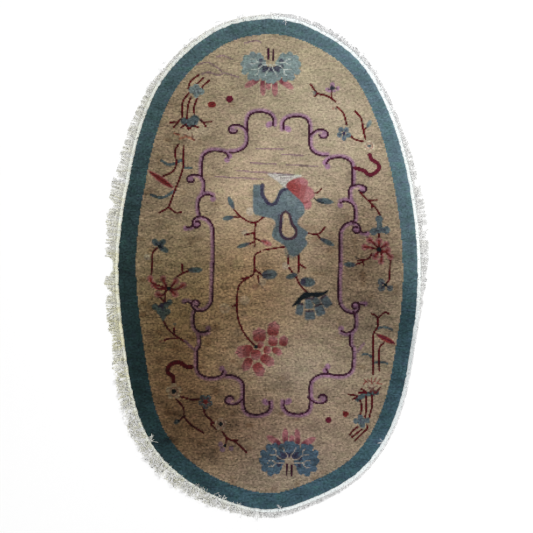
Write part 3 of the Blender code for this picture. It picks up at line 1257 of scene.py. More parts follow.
RIGHT_STALKS = Motif("jointed stalks, right", (
    Lines(((338, -202, 360, -196, 386, -205), (293, -282, 307, -279, 325, -290),
        (329, -308, 347, -304, 372, -309)), Yarn.LEAF_TEAL, 7),
    Lines(((323, -155, 335, -160, 342, -169), (377, -156, 363, -152, 342, -169),
        (342, -169, 341, -194, 329, -216, 326, -253, 327, -343), (360, -245, 346, -264, 347, -330))),
    Leaf((334, -217), (396, -250), 17, Yarn.SCARLET, shade=0),
    line((340, -220, 366, -233, 391, -247), Yarn.CRIMSON, 6.5, 0.9),
))
LEFT_SPRIG = Motif("flowering sprig, left", (
    Lines(((-342, 48, -355, 32, -356, 1, -359, -42), (-283, -48, -272, -37, -238, -21),
        (-261, -30, -264, -4), (-314, -86, -315, -114), (-333, -101, -319, -118), (-321, -177, -306, -204,
        -282, -225, -255, -243), (-287, -217, -289, -201), (-280, -232, -302, -232, -319, -237))),
    Leaf((-339, 57), (-355, 76), 19, full=True), Leaf((-334, 57), (-316, 74), 18, full=True),
    Leaf((-334, 52), (-306, 36), 17, full=True),
    Lines(((-346, 65, -335, 54, -322, 45), (-335, 54, -325, 66)), Yarn.INK, 4.5, 0.8),
    Spot((-335, 54), 5.5, Yarn.INK),
    Lobes(((-345, -134, 11), (-301, -120, 9), (-311, -127, 9), (-324, -140, 13), (-333, -149, 9),
        (-308, -148, 10)), Yarn.LEAF_TEAL),
    Shape((-340, -150, -301, -148, -322, -180), Yarn.LEAF_TEAL, 1.0, False),
    Lines(((-336, -133, -327, -130, -316, -122, -309, -121), (-327, -130, -321, -144)), Yarn.INDIGO, 6,
        0.8),
    Spot((-326, -129), 7, Yarn.INDIGO), Leaf((-243, -21), (-200, -21), 17, full=True),
    Spot((-286, -188), 5, Yarn.SLATE_BLUE, 0.6), line((-332, -240, -318, -238), Yarn.SCARLET, 6, 0.6),
    RaggedBloom((-304, -78), (((-338, -77), (-350, -66)), ((-352, -61), (-362, -46)),
        ((-315, -65), (-322, -47)), ((-293, -68), (-282, -54)), ((-281, -81), (-259, -68)),
        ((-294, -87), (-284, -96)), ((-324, -98), (-337, -95))), 6.5),
))
RIGHT_SPRIG = Motif("flowering sprig, right", (
    Lines(((371, -60, 378, -48, 379, -20, 380, 12), (345, 54, 345, 94), (322, 29, 310, 15, 279, 9),
        (296, 7, 297, -5), (294, 4, 276, -2), (349, 150, 336, 172, 310, 198, 288, 220), (316, 196, 341,
        197), (324, 184, 324, 174))),
    Lobes(((352, -56, 11), (354, -77, 10.5), (381, -77, 10)), Yarn.SLATE_BLUE, 0.9),
    Lines(((355, -60, 367, -66, 379, -77), (367, -66, 356, -75)), Yarn.INDIGO, 6, 0.8),
    Spot((367, -66), 6, Yarn.INK),
    Lobes(((347, 137, 12), (347, 121, 9), (347, 107, 12), (329, 99, 12), (368, 103, 12), (358, 104, 9)),
        Yarn.SLATE_BLUE),
    line((333, 99, 347, 104, 365, 104), Yarn.INDIGO, 6, 0.5), Leaf((274, -5), (236, -3), 18),
    line((272, 19, 280, 16), Yarn.INK, 5, 0.7), Spot((324, 168), 5, Yarn.SOOT, 0.6),
    RaggedBloom((345, 43), (((330, 62), (316, 73)), ((321, 49), (300, 52)), ((345, 52), (345, 70)),
        ((355, 51), (367, 59)), ((367, 34), (380, 20)), ((354, 24), (351, 7)), ((338, 30), (333, 22)),
        ((356, 36), (372, 41))), 7.5),
))
RIBBONS = Motif("loose ribbons", (
    line((316, 337, 322, 323, 341, 309, 344, 292, 319, 274, 297, 288, 273, 295), Yarn.CRIMSON, 13),
    line((-289, -368, -291, -350, -306, -338, -306, -321, -291, -309, -270, -308, -250, -320, -235, -322),
        Yarn.MAROON, 14.5),
    line((298, -246, 278, -274), Yarn.LAVENDER, 8, 0.6),
))
TOP_BOUGH = Motif("plum bough, upper right", (
    Lines(((134, 554, 155, 527, 186, 517, 212, 500), (200, 512, 200, 531), (155, 526, 148, 517),
        (217, 483, 237, 462, 246, 429), (254, 396, 273, 383, 295, 378), (272, 471, 291, 449, 297, 414, 304,
        386), (298, 412, 311, 424))),
    Spot((147, 528), 6, Yarn.SLATE_BLUE, 0.5),
    Lobes(((202, 552, 7.5), (187, 537, 7), (218, 540, 7), (193, 532, 5), (208, 532, 5)), Yarn.LAVENDER,
        0.85),
    Spot((201, 541), 7.5, Yarn.INDIGO, 0.9),
    Lines(((188, 538, 216, 541), (201, 550, 201, 532)), Yarn.INK, 4, 0.7),
    Lines(((203, 478, 206, 478), (223, 480, 225, 474)), Yarn.SCARLET, 4.5, 0.7),
    Spot((213, 478), 5, Yarn.SOOT, 0.8),
    Blossom((237, 401), 23, 5, Yarn.SLATE_BLUE, Yarn.INDIGO, 5, turn=0.75),
    Leaf((308, 420), (322, 444), 13, Yarn.PALE_BLUE),
    Blossom((315, 364), 17, 6, Yarn.CREAM, Yarn.LEAF_TEAL, 5, Yarn.SCARLET),
))
LOW_BOUGH = Motif("plum bough, lower left", (
    Lines(((-140, -520, -123, -540, -95, -555, -64, -585), (-127, -538, -129, -559),
        (-111, -547, -92, -546), (-197, -446, -190, -469, -171, -488, -175, -498, -156, -513),
        (-171, -492, -151, -492), (-209, -420, -233, -422, -269, -412), (-282, -418, -259, -447, -256,
        -475, -235, -501, -197, -525), (-258, -473, -269, -484))),
    Lobes(((-145, -559, 8.5), (-139, -575, 8.5), (-112, -571, 8)), Yarn.VIOLET, 0.8),
    Spot((-131, -563), 5.5, Yarn.INK),
    Blossom((-144, -496), 20, 5, Yarn.CREAM, Yarn.INK, 6.5, Yarn.SCARLET),
    Blossom((-190, -428), 24, 5, Yarn.SLATE_BLUE, Yarn.SCARLET, 7, turn=0.75),
    Leaf((-270, -484), (-290, -496), 14), Spot((-275, -487), 4, Yarn.INK),
    Blossom((-288, -396), 26, 5, Yarn.CREAM, Yarn.INK, 7.5, Yarn.SCARLET),
    line((-254, -241, -240, -256, -226, -268), Yarn.LAVENDER, 9, 0.8),
))
PEARLS = Motif("pearls", (
    Lobes(((-173, 491, 10), (-168, 491, 10), (242, -466, 9.5)), Yarn.SCARLET),
    Lobes(((-171, 491, 9), (242, -466, 8)), Yarn.MAROON, 0.5),
    Lobes(((-116, 509, 11.5), (189, -485, 10)), Yarn.CRIMSON),
))
HANGING_BRANCH = Motif("hanging branch", (
    Lines(((-10, 143, -29, 129, -53, 127, -84, 147, -102, 167), (-81, 143, -106, 144),
        (-35, 125, -39, 97, -39, 52), (-39, 94, -69, 88), (-39, 77, -16, 66), (-41, 66, -57, 60),
        (55, 52, 15, 45, -13, 40), (-22, 35, -39, 23, -40, -27, -57, -44, -81, -61, -91, -89, -91, -163,
        -70, -219, -38, -256)), Yarn.MAROON, 6.2),
    Lines(((-40, -20, -16, -36), (-50, -41, -81, -48), (-91, -126, -106, -132), (-78, -207, -81, -194))),
    Leaf((-102, 169), (-120, 208), 16), Leaf((-103, 144), (-139, 138), 16), Leaf((-55, 62), (-95, 50), 14),
    line((-28, -40, -26, -58)), line((-26, -58, -4, -86), Yarn.SOOT, 5, 0.6),
    Spot((-38, -74), 9, Yarn.ROSE, 0.3), Leaf((-15, -37), (31, -33), 30, Yarn.SLATE_BLUE, full=True),
    line((-12, -37, 4, -36, 14, -30), Yarn.INDIGO, 4, 0.6), Leaf((-20, 71), (14, 55), 17, Yarn.ROSE),
    line((-18, 70, 2, 61), Yarn.SCARLET, 5, 0.8),
))
LOWER_TWIGS = Motif("twigs below the rock", (
    Lines(((127, 93, 158, 91, 179, 111), (152, 91, 164, 76), (65, 26, 65, 0), (96, 26, 96, -27),
        (98, -1, 116, -12), (68, -14, 84, -36), (90, -42, 102, -66, 123, -88))),
    Leaf((162, 77), (207, 54), 16), Leaf((94, -32), (58, -45), 17),
    Leaf((103, -55), (149, -60), 29, full=True), Spot((111, -55), 8, Yarn.INDIGO, 0.7),
    Spot((117, -13), 3.5, Yarn.SCARLET),
))
ROCK_PEONY = Motif("peony on the rock", (
    Shape((2, 276, 55, 276, 106, 273, 84, 254, 58, 233, 34, 252), Yarn.SKY, 0.7),
    Lines(((30, 278, 84, 277), (34, 272, 80, 272), (40, 266, 73, 266)), Yarn.PLUM, 3.8, 0.5),
    Bloom((((62, 232), (126, 253), 44), ((98, 212), (134, 170), 34), ((63, 229), (147, 211), 50)),
        Yarn.ROSE, Yarn.SCARLET, (0.25, 0.45, 0.65), 0),
    line((148, 217, 160, 221, 168, 230), Yarn.MAROON, 5), Leaf((150, 196), (206, 188), 20),
    line((147, 201, 158, 192, 176, 187), Yarn.INK, 6, 0.8),
))
GARDEN_ROCK = Motif("pierced garden rock", (
    Shape((-43, 243, -43, 243, -10, 243, -10, 243, -7, 208, 12, 187, 27, 200, 40, 229, 60, 232, 90, 207,
        113, 184, 116, 156, 98, 138, 97, 120, 125, 98, 117, 79, 123, 60, 92, 26, 68, 27, 55, 53, 18, 77,
        16, 98, 26, 117, 18, 136, -19, 146, -42, 160), Yarn.SLATE_BLUE),
    Lobes(((78, 196, 18), (60, 215, 10), (104, 166, 12)), Yarn.PALE_BLUE, 0.3),
    Lobes(((75, 40, 24), (-5, 175, 20), (30, 110, 14)), Yarn.LEAF_TEAL, 0.45),
    line((-14, 241, -14, 213, -5, 197, 4, 185), Yarn.INDIGO, 12, 0.85),
    line((3, 185, 15, 181, 27, 186, 35, 203, 41, 218, 50, 227, 60, 230), Yarn.INDIGO, 9, 0.85),
    line((38, 150, 39, 126), Yarn.INDIGO, 9, 0.5),
    line((57, 161, 69, 150, 74, 131, 80, 118, 89, 106, 89, 90, 78, 79, 63, 76, 48, 82, 41, 98, 42, 115,
        43, 132, 46, 150, 57, 161), Yarn.PLUM, 9, 0.85),
    line((43, 132, 41, 98, 48, 82, 63, 76), Yarn.INDIGO, 7, 0.6),
    Shape((57, 157, 65, 149, 69, 130, 75, 115, 84, 104, 84, 93, 76, 84, 64, 81, 52, 87, 46, 100, 47, 115,
        49, 131, 50, 147), Yarn.TAUPE),
))
BELL_FLOWER = Motif("drooping flower", (
    Bloom((((105, -121), (98, -159), 23), ((130, -105), (130, -140), 26), ((142, -104), (162, -127), 20),
        ((132, -145), (133, -174), 32), ((157, -126), (169, -161), 29), ((172, -102), (193, -134), 27)),
        Yarn.SLATE_BLUE, Yarn.PLUM, (0.18, 0.18), profile=BELL_PROFILE),
    Shape((75, -134, 87, -118, 99, -103, 118, -87, 138, -90, 154, -87, 169, -90, 181, -85, 190, -83,
        187, -92, 171, -101, 157, -105, 138, -103, 122, -108, 111, -112, 99, -124, 86, -130), Yarn.INK),
))
GREAT_PEONY = Motif("great peony", (
    Bloom((((-25, -244), (-26, -199), 41), ((14, -226), (24, -178), 36), ((15, -256), (19, -223), 30),
        ((47, -255), (53, -222), 27), ((-29, -263), (-14, -243), 18), ((-12, -267), (13, -271), 25),
        ((16, -265), (46, -280), 21), ((-44, -268), (-101, -276), 38), ((-37, -268), (-33, -302), 32),
        ((-19, -288), (22, -314), 30), ((-53, -293), (-73, -334), 28), ((-37, -310), (-13, -351), 32)),
        Yarn.ROSE, Yarn.SCARLET, ragged=True),
    Spot((-36, -259), 6.5, Yarn.INK),
))

PALMETTES = (
    LotusPalmette((11, 616), 1, 0.95, 0.95, Yarn.PALE_BLUE, Yarn.SKY),
    LotusPalmette((68, -609), -1, 0.95, 1.3, Yarn.DENIM, Yarn.CREAM),
)
MOTIFS = (
    POOL_REEDS, LOW_REEDS, LEFT_STALKS, RIGHT_STALKS, LEFT_SPRIG, RIGHT_SPRIG, RIBBONS, TOP_BOUGH, LOW_BOUGH,
    PEARLS, HANGING_BRANCH, LOWER_TWIGS, ROCK_PEONY, GARDEN_ROCK, BELL_FLOWER, GREAT_PEONY,
)


def weave_design(chart: KnotChart) -> None:
    """Ties every motif on the chart."""
    pen = Pen(chart)
    for motif in (SMUDGES, FAINT):
        motif.weave(pen)
    ScrollFrame().weave(chart)
    for palmette in PALMETTES:
        palmette.weave(chart)
    for motif in MOTIFS:
        motif.weave(pen)
        log.info("tied: %s", motif.name)
    log.info("chart: %d knots in %d rows", chart.columns * chart.rows, chart.rows)


# ---- Finishes ----


@dataclass(frozen=True)
class WoolFinish:
    """Worn cut wool: its own dyes, mottled at the fibres' scale and soft at the surface.

    Attributes:
        name: the material's name.
        mottles: mottles a metre.
        darkest: the darkest mottle, as a share of the dye.
        spread: how much lighter the lightest is.
        tufts: tufts a metre.
        tuft_roughness: how rough they are.
        bump: strength of the bump that they make.
        depth: its depth.
    """

    name: str = "cut_wool_pile"
    mottles: float = 420.0
    darkest: float = 0.42
    spread: float = 1.16
    tufts: float = 520.0
    tuft_roughness: float = 0.7
    bump: float = 0.9
    depth: float = 0.9 * MM

    def material(self) -> Material:
        """Builds the finish."""
        tree = ShaderTree(self.name)
        place = tree.place()
        tone = self.darkest + tree.noise(place, self.mottles) * self.spread
        tufts = tree.noise(place, self.tufts, roughness=self.tuft_roughness)
        return tree.finish({
            "Base Color": tree.toned(tree.yarn(), tone),
            "Roughness": 0.95,
            "Specular IOR Level": 0.1,
            "Sheen Weight": 0.04,
            "Sheen Roughness": 0.5,
            "Normal": tree.bump(tufts, self.bump, self.depth),
        })


@dataclass(frozen=True)
class WovenBackFinish:
    """Underside of the knots: each knot a small bead between cotton wefts.

    Attributes:
        name: the material's name.
        cotton: the wefts' colour, as sRGB levels.
        weft_start: sine of the place in a row where the weft begins to show.
        weft_cover: how much of the wool the weft hides there.
        clouds: soft clouds a metre, the darkest one's tone, and how much lighter the lightest is.
        fibre: fibres a metre.
    """

    name: str = "woven_back"
    cotton: tuple[int, int, int] = (176, 164, 138)
    weft_start: float = 0.86
    weft_cover: float = 0.55
    clouds: tuple[float, float, float] = (14.0, 0.55, 0.9)
    fibre: float = 900.0

    def material(self) -> Material:
        """Builds the finish."""
        tree = ShaderTree(self.name)
        place = tree.place()
        across, along = (
            (tree.add("ShaderNodeSeparateXYZ", {}, {0: place}, axis) * (TURN / KnotChart.PITCH)).sine()
            for axis in (0, 1)
        )
        weft = (along * -1.0).above(self.weft_start)
        scale, darkest, spread = self.clouds
        clouds = darkest + tree.noise(place, scale, 4.0) * spread
        cotton = (*linear_rgb(self.cotton), 1.0)
        colour = tree.mix("MIX", weft * self.weft_cover, tree.toned(tree.yarn(), clouds), cotton)
        beads = (across * 0.5 + along) * 0.35 + tree.noise(place, self.fibre) * 0.3
        return tree.finish({
            "Base Color": colour,
            "Roughness": 0.95,
            "Specular IOR Level": 0.15,
            "Normal": tree.bump(beads, 0.8, 0.5 * MM),
        })


@dataclass(frozen=True)
class CottonFinish:
    """Washed cotton yarn over the strands' tones, which carry soiling, painted shade and painted shadow
    dashes.

    Attributes:
        name: the material's name.
        fibre: fibres a metre.
        darkest: the darkest mottle, as a share of the strand's tone.
        spread: how much lighter the lightest is.
    """

    name: str
    fibre: float
    darkest: float = 0.86
    spread: float = 0.28

    def material(self) -> Material:
        """Builds the finish."""
        tree = ShaderTree(self.name)
        place = tree.place()
        tone = self.darkest + tree.noise(place, self.fibre / 3) * self.spread
        return tree.finish({
            "Base Color": tree.toned(tree.yarn(), tone),
            "Roughness": 0.9,
            "Specular IOR Level": 0.2,
            "Sheen Weight": 0.1,
            "Normal": tree.bump(tree.noise(place, self.fibre), 0.6, 0.25 * MM),
        })


# ---- Rug body ----


@dataclass(frozen=True)
class Rim:
    """One ring of a sheet's rim: how far it lies inside the outline, and its height, in metres."""

    inset: float
    height: float


def rims(*rows: Point) -> tuple[Rim, ...]:
    """Rings of a rim from insets and heights in millimetres."""
    return tuple(Rim(inset * MM, height * MM) for inset, height in rows)


@dataclass
class KnotSheet:
    """A sheet of knots cut to the rug's outline, one facet each, with a rim of rings.

    Attributes:
        name: the piece's name.
        outline: the rug's outline.
        chart: the design.
        height: height of the sheet.
        rims: rings of its rim; the sheet's own edge is snapped to the first.
        faces_up: whether it is seen from above.
        jitter: how far the knots' corners are moved at random, across and in height.
        tuft: how far the rim's points are moved at random.
        ragged: how far the rim wanders in and out.
    """

    name: str
    outline: RugOutline
    chart: KnotChart
    height: float
    rims: tuple[Rim, ...]
    faces_up: bool
    jitter: tuple[float, float]
    tuft: float
    ragged: float
    generator: np.random.Generator = field(init=False)

    EDGE_SMOOTHING = 12
    # The rim takes the colours of the knots a little way in.
    RIM_COLOURS = 0.995
    # How far the rim's points are moved in height, as a share of how far they are moved across.
    RIM_LIFT = 0.6
    # How much the neighbouring knots show at a knot's corners.
    CORNER_BLEND = 0.05

    def __post_init__(self) -> None:
        """Starts the piece's own random draws."""
        self.generator = np.random.default_rng(SHEET_SEED)

    def build(self) -> Mesh:
        """Makes the sheet's mesh with its yarn colours."""
        chart = self.chart
        rows, columns = np.nonzero(chart.outset < -self.rims[0].inset)
        width = chart.columns + 1
        first = rows * width + columns
        corners = np.stack([first, first + 1, first + width + 1, first + width], axis=1)
        used, faces = np.unique(corners, return_inverse=True)
        faces = faces.reshape(-1, 4)
        across, up = self.jitter
        points = np.column_stack([
            chart.x[0] + (used % width - 0.5) * chart.PITCH,
            chart.y[0] + (used // width - 0.5) * chart.PITCH,
            np.full(len(used), self.height),
        ])
        for axis, spread in enumerate((across, across, up)):
            points[:, axis] += self.generator.uniform(-spread, spread, len(used))
        knots = np.repeat(chart.colour[rows, columns], 4, axis=0)
        meeting = chart.corner_colours().reshape(-1, 3)[corners.ravel()]
        colours = knots + (meeting - knots) * self.CORNER_BLEND
        loop = self._edge_loop(faces)
        shares = self._even_shares(points[loop, :2])
        points[loop, :2] = self.outline.at(shares, -self.rims[0].inset)
        points[loop, 2] = self.rims[0].height
        points, rim_faces = self._add_rims(points, loop, shares)
        rim_colours = chart.at(points[rim_faces].mean(1)[:, :2] * self.RIM_COLOURS)
        colours = np.vstack([colours, np.repeat(rim_colours, 4, axis=0)])
        faces = np.vstack([faces, rim_faces])
        if not self.faces_up:
            faces = faces[:, ::-1]
            colours = colours.reshape(-1, 4, 3)[:, ::-1].reshape(-1, 3)
        mesh = mesh_from(self.name, points, [faces])
        colour_corners(mesh, colours)
        return mesh

    @staticmethod
    def _edge_loop(faces: Array) -> Array:
        """Corners of the sheet's edge, in order round it."""
        edges = np.concatenate([faces[:, [i, (i + 1) % 4]] for i in range(4)])
        keys = edges.min(1).astype(np.int64) * (faces.max() + 1) + edges.max(1)
        _, first, counts = np.unique(keys, return_index=True, return_counts=True)
        following = {int(a): int(b) for a, b in edges[first[counts == 1]]}
        loop = [next(iter(following))]
        while following[loop[-1]] != loop[0]:
            loop.append(following[loop[-1]])
        return np.array(loop)

    def _even_shares(self, places: Array) -> Array:
        """Share of the outline's length nearest to each edge corner, evened out along the edge."""
        found = self.outline.nearest(places)[0]
        shares = np.unwrap(self.outline.along[found] / self.outline.length, period=1)
        for _ in range(self.EDGE_SMOOTHING):
            before = np.roll(shares, 1)
            before[0] -= 1
            after = np.roll(shares, -1)
            after[-1] += 1
            shares = (before + 2 * shares + after) / 4
        return shares

    def _add_rims(self, points: Array, loop: Array, shares: Array) -> tuple[Array, Array]:
        """Adds the rim's rings and the faces between them."""
        previous, faces = loop, []
        ragged = soft_noise(self.generator, (1, len(loop)), (1, 2.5))[0] * self.ragged
        for rim in self.rims[1:]:
            wobble = self.generator.uniform(-self.tuft, self.tuft, (len(loop), 2))
            ring = self.outline.at(shares, ragged + wobble[:, 0] - rim.inset)
            heights = np.maximum(rim.height + wobble[:, 1] * self.RIM_LIFT, 0.0)
            current = np.arange(len(points), len(points) + len(loop))
            points = np.vstack([points, np.column_stack([ring, heights])])
            faces.append(np.column_stack([np.roll(previous, -1), previous, current, np.roll(current, -1)]))
            previous = current
        return points, np.vstack(faces)


class RugBody:
    """The knotted body: the pile, and the woven foundation under it."""

    PILE_RIMS = rims((7, 10.3), (4.4, 10), (2.2, 8.9), (0.8, 7.3), (0.3, 5.6), (0.6, 4), (1.4, 2.9))
    BACK_RIMS = rims((1.4, 0.3), (0.4, 0.8), (0.2, 1.9), (0.6, 2.9), (2.6, 3))

    def __init__(self, outline: RugOutline, chart: KnotChart) -> None:
        """Sets out the body's two sheets."""
        self.pile = KnotSheet("pile", outline, chart, 10.6 * MM, self.PILE_RIMS, True,
                              (0.5 * MM, 0.2 * MM), 0.45 * MM, 0.7 * MM)
        self.back = KnotSheet("foundation", outline, chart, 0.25 * MM, self.BACK_RIMS, False,
                              (0.1 * MM, 0.1 * MM), 0.1 * MM, 0.0)

    def make(self) -> dict[str, Object]:
        """Makes the two pieces."""
        wool, woven = WoolFinish().material(), WovenBackFinish().material()
        return {
            "pile": add_piece(self.pile.build(), wool, "rug_body"),
            "foundation": add_piece(self.back.build(), woven, "rug_body"),
        }


# ---- Fringe ----


@dataclass(frozen=True)
class Strands:
    """Many strands at once: their paths, thickness and tones.

    Attributes:
        paths: points by strand and step, in metres.
        radii: radius by strand and step, in metres.
        tones: colour by strand and step.
        sides: how many sides each has.
        flatness: thickness as a share of the width.
        turns: how many times the section turns along the strand.
    """

    paths: Array
    radii: Array
    tones: Array
    sides: int
    flatness: float
    turns: float

    def mesh(self, name: str) -> Mesh:
        """Closed tubes along every path."""
        count, steps, _ = self.paths.shape
        forward = np.gradient(self.paths, axis=1)
        forward /= np.linalg.norm(forward, axis=2, keepdims=True)
        side = np.cross(forward, [0.0, 0.0, 1.0])
        side /= np.linalg.norm(side, axis=2, keepdims=True)
        up = np.cross(side, forward)
        ring = np.arange(self.sides) * TURN / self.sides
        spin = np.linspace(0, self.turns * TURN, steps)[:, None]
        cos_ring, sin_ring = np.cos(ring)[None], self.flatness * np.sin(ring)[None]
        wide = cos_ring * np.cos(spin) - sin_ring * np.sin(spin)
        high = cos_ring * np.sin(spin) + sin_ring * np.cos(spin)
        offset = side[:, :, None] * wide[None, :, :, None] + up[:, :, None] * high[None, :, :, None]
        points = self.paths[:, :, None] + offset * self.radii[:, :, None, None]
        points[..., 2] = np.maximum(points[..., 2], 0.0)
        index = np.arange(count * steps * self.sides).reshape(count, steps, self.sides)
        here, onward = index[:, :-1], index[:, 1:]
        walls = np.stack([here, np.roll(here, -1, 2), np.roll(onward, -1, 2), onward], axis=-1)
        caps = np.vstack([index[:, 0, ::-1], index[:, -1]])
        mesh = mesh_from(name, points.reshape(-1, 3), [walls.reshape(-1, 4), caps])
        wall_tones = np.repeat(self.tones[:, :-1].reshape(-1, 3), self.sides * 4, axis=0)
        cap_tones = np.repeat(np.vstack([self.tones[:, 0], self.tones[:, -1]]), self.sides, axis=0)
        colour_corners(mesh, np.vstack([wall_tones, cap_tones]))
        return mesh


@dataclass(frozen=True)
class Fray:
    """Loose threads that lie in over the border.

    Attributes:
        angle: degrees from +X to their middle.
        threads: how many.
        reach: how far in they lie, in millimetres.
        spread: how far they scatter along the edge, in millimetres.
    """

    angle: float
    threads: int
    reach: float
    spread: float


@dataclass(frozen=True)
class ThinPlace:
    """A place where the fringe has worn short: its angle, its width in millimetres, and what is left."""

    angle: float
    width: float
    left: float


@dataclass(frozen=True)
class ByTangle:
    """A measure where the fringe lies smooth, and what full ruffling adds to it."""

    smooth: float
    added: float

    def at(self, tangle: Array) -> Array:
        """The measure at this much ruffling."""
        return self.smooth + self.added * tangle


class Fringe:
    """The fringe: sewn tape, twisted cords and the loose fibres that have worked out of them."""

    # Where the tape's ends meet, in degrees from +X, and the gap between them.
    JOINT_ANGLE, JOINT_GAP = 180, 0.6 * MM
    # Across the tape, from the rug out, in millimetres: distance from the edge and height of each row.
    TAPE_PROFILE = ((-0.8, 2.6), (1.2, 2.8), (2.6, 2.4), (4.4, 2.5), (6.4, 2.0), (8.4, 2.0), (10.4, 1.5),
                    (12.2, 1.2), (13.2, 0.7), (13.0, 0.3))
    TAPE_PITCH, TAPE_FOOT, TAPE_LEAST, TAPE_UNEVENNESS = 1.6 * MM, 0.1 * MM, 0.05 * MM, 0.1 * MM
    # The ribs' height, and the height of the tape from which they show.
    RIB, RIB_FROM = 0.22 * MM, 1 * MM
    CORD_PITCH, CORD_RADIUS, CORD_STEPS, CORD_START = 2.6 * MM, 1.6 * MM, 11, 1.4 * MM
    CORD_SCATTER, CORD_STRAY = 0.12, 0.1
    CORD_SIZES, CORD_TIP = (0.75, 1.15), 0.75
    WISPS, WISP_RADIUS, WISP_STEPS, WISP_START = 1300, 0.34 * MM, 7, 1.8 * MM
    WISP_STRAY, WISP_LENGTH, WISP_TIP = 0.35, 1.03, 0.3
    # How many more fibres a ruffled place has than a smooth one, and the places to choose from.
    WISP_GATHER, PLACES = 1.0, 1440
    CURLS, CURL_RADIUS, CURL_STEPS, CURL_BEND, CURL_BRIGHTNESS = 380, 1.45 * MM, 7, 1.3, 0.9
    # Lengths and heights of the curls, how high they arch, and how near the fringe's two sides they stay.
    CURL_LENGTHS, CURL_HEIGHTS, CURL_ARCH = (9 * MM, 24 * MM), (2.6 * MM, 4.4 * MM), 1.2 * MM
    CURL_ROOTS, CURL_INNER, CURL_OUTER = (3 * MM, -4 * MM), 1.5 * MM, 2 * MM
    TUFTS, TUFT_LEAN, TUFT_LENGTHS = 470, 0.22, (0.86, 1.02)
    ROOT_OUTSET, ROOT_HEIGHT, TAPE_COVERED = 10.5 * MM, 1.9 * MM, 8.5 * MM
    # Rise of a strand's root for each millimetre that it begins further in, and the strands' least length.
    ROOT_RISE, SHORTEST_STRAND = 0.17, 3 * MM
    REST_HEIGHT, LEAST_HEIGHT, RIPPLE = 0.55 * MM, 0.4 * MM, 0.3 * MM
    CRIMP, CRIMP_LENGTH, CRIMP_SHARES = 0.9 * MM, 9 * MM, (0.4, 1.0)
    RUFFLE, SLOW_LEAN, SHORTENING = ByTangle(0.3, 1.3), ByTangle(0.18, 0.1), ByTangle(0.92, -0.35)
    CURVING = 0.35
    LEAN_WAVES = (37, 61, 88)
    # Colour of clean cotton, of clean tape, and of cotton that is soiled and in painted shade.
    CLEAN, TAPE_CLEAN, SOILED = (254, 254, 254), (246, 252, 252), (233, 231, 205)
    # How much the soiling and painted shade differ between tufts, and their greatest share.
    TUFT_SOIL, MOST_SOIL = 0.25, 1.2
    # Painted shadow dashes where strands part: middles and half lengths as shares of the strand, tones,
    # the share of them that clean cotton keeps, and how much darker they are where the fringe is ruffled.
    DASH_MIDDLES, DASH_HALVES, DASH_TONES = (0.0, 0.95), (0.06, 0.2), (0.3, 0.7)
    CLEAN_DASHES, RUFFLED_DASH = 0.35, 0.55
    FRAYS = tuple(Fray(*row) for row in (
        (85.8, 3, 27, 1), (236, 12, 26, 4), (254, 9, 18, 18), (259, 10, 22, 12), (263, 5, 16, 8),
        (246, 10, 12, 45), (225, 14, 9, 60), (152, 70, 9, 130), (190, 40, 7, 130), (273, 4, 24, 4),
        (303, 3, 20, 4),
    ))
    # Radius of the frays, how far out they begin, and their height at the root and over the pile.
    FRAY_RADIUS, FRAY_ROOT, FRAY_LOW, FRAY_HIGH = 0.55 * MM, 5 * MM, 4.2 * MM, 11.2 * MM
    THIN_PLACES = (ThinPlace(180, 42, 0.72), ThinPlace(29, 26, 0.5), ThinPlace(13, 26, 0.5))

    def __init__(self, outline: RugOutline) -> None:
        """Finds where the tape's two ends meet and draws how each tuft lies."""
        self.outline = outline
        self.generator = np.random.default_rng(FRINGE_SEED)
        self.joint = outline.share(self.JOINT_ANGLE)
        self.tuft_lean = self.generator.normal(0, self.TUFT_LEAN, self.TUFTS)
        self.tuft_length = self.generator.uniform(*self.TUFT_LENGTHS, self.TUFTS)
        self.tuft_tone = self.generator.normal(0, 1, self.TUFTS)

    def _cotton(self, shares: Array, value: str) -> Array:
        """Reads one column of the fringe's table at these shares of the outline's length."""
        found = self.outline.sample(shares).astype(int) % self.outline.SAMPLES
        return round_rug(np.degrees(self.outline.angles[found]) % 360, value, COTTON)

    def _tuft(self, shares: Array) -> Array:
        """Number of the tuft that each strand belongs to."""
        return (np.mod(shares, 1) * self.TUFTS).astype(int) % self.TUFTS

    def _chosen(self, count: int, weight: Callable[[Array], Array]) -> Array:
        """Shares of the outline's length, drawn more often where a weight of the ruffling is high."""
        places = np.linspace(0, 1, self.PLACES, endpoint=False)
        weights = weight(self._cotton(places, "tangle"))
        return self.generator.choice(places, count, p=weights / weights.sum())

    def _beside(self, shares: Array, out: Array, aside: Array) -> Array:
        """Places on the floor by strand and step, so far out from the edge and aside along it."""
        normal = self.outline.normal(shares)[:, None]
        along = np.stack([-normal[..., 1], normal[..., 0]], axis=-1)
        return self.outline.at(shares)[:, None] + normal * out[..., None] + along * aside[..., None]

    def tones(
        self, shares: Array, steps: int, spread: float, dashes: float, clean: Sequence[int] = CLEAN,
    ) -> Array:
        """Cotton colours, darkened by the fringe's table with soiling and painted shade, and painted shadow
        dashes where strands part.

        Args:
            shares: where each strand grows, as a share of the outline's length.
            steps: points along each strand.
            spread: spread of the tone from step to step.
            dashes: share of the strands that have a painted shadow dash.
            clean: colour of the cotton where it isn't soiled.

        Returns:
            Scene-linear colours by strand and step.
        """
        column = (len(shares), 1)
        tuft = self.tuft_tone[self._tuft(shares)]
        # Darkening of the cotton: partly soiling, partly painted shade.
        soil = np.clip(self._cotton(shares, "soil") * (1 + self.TUFT_SOIL * tuft), 0, self.MOST_SOIL)[:, None]
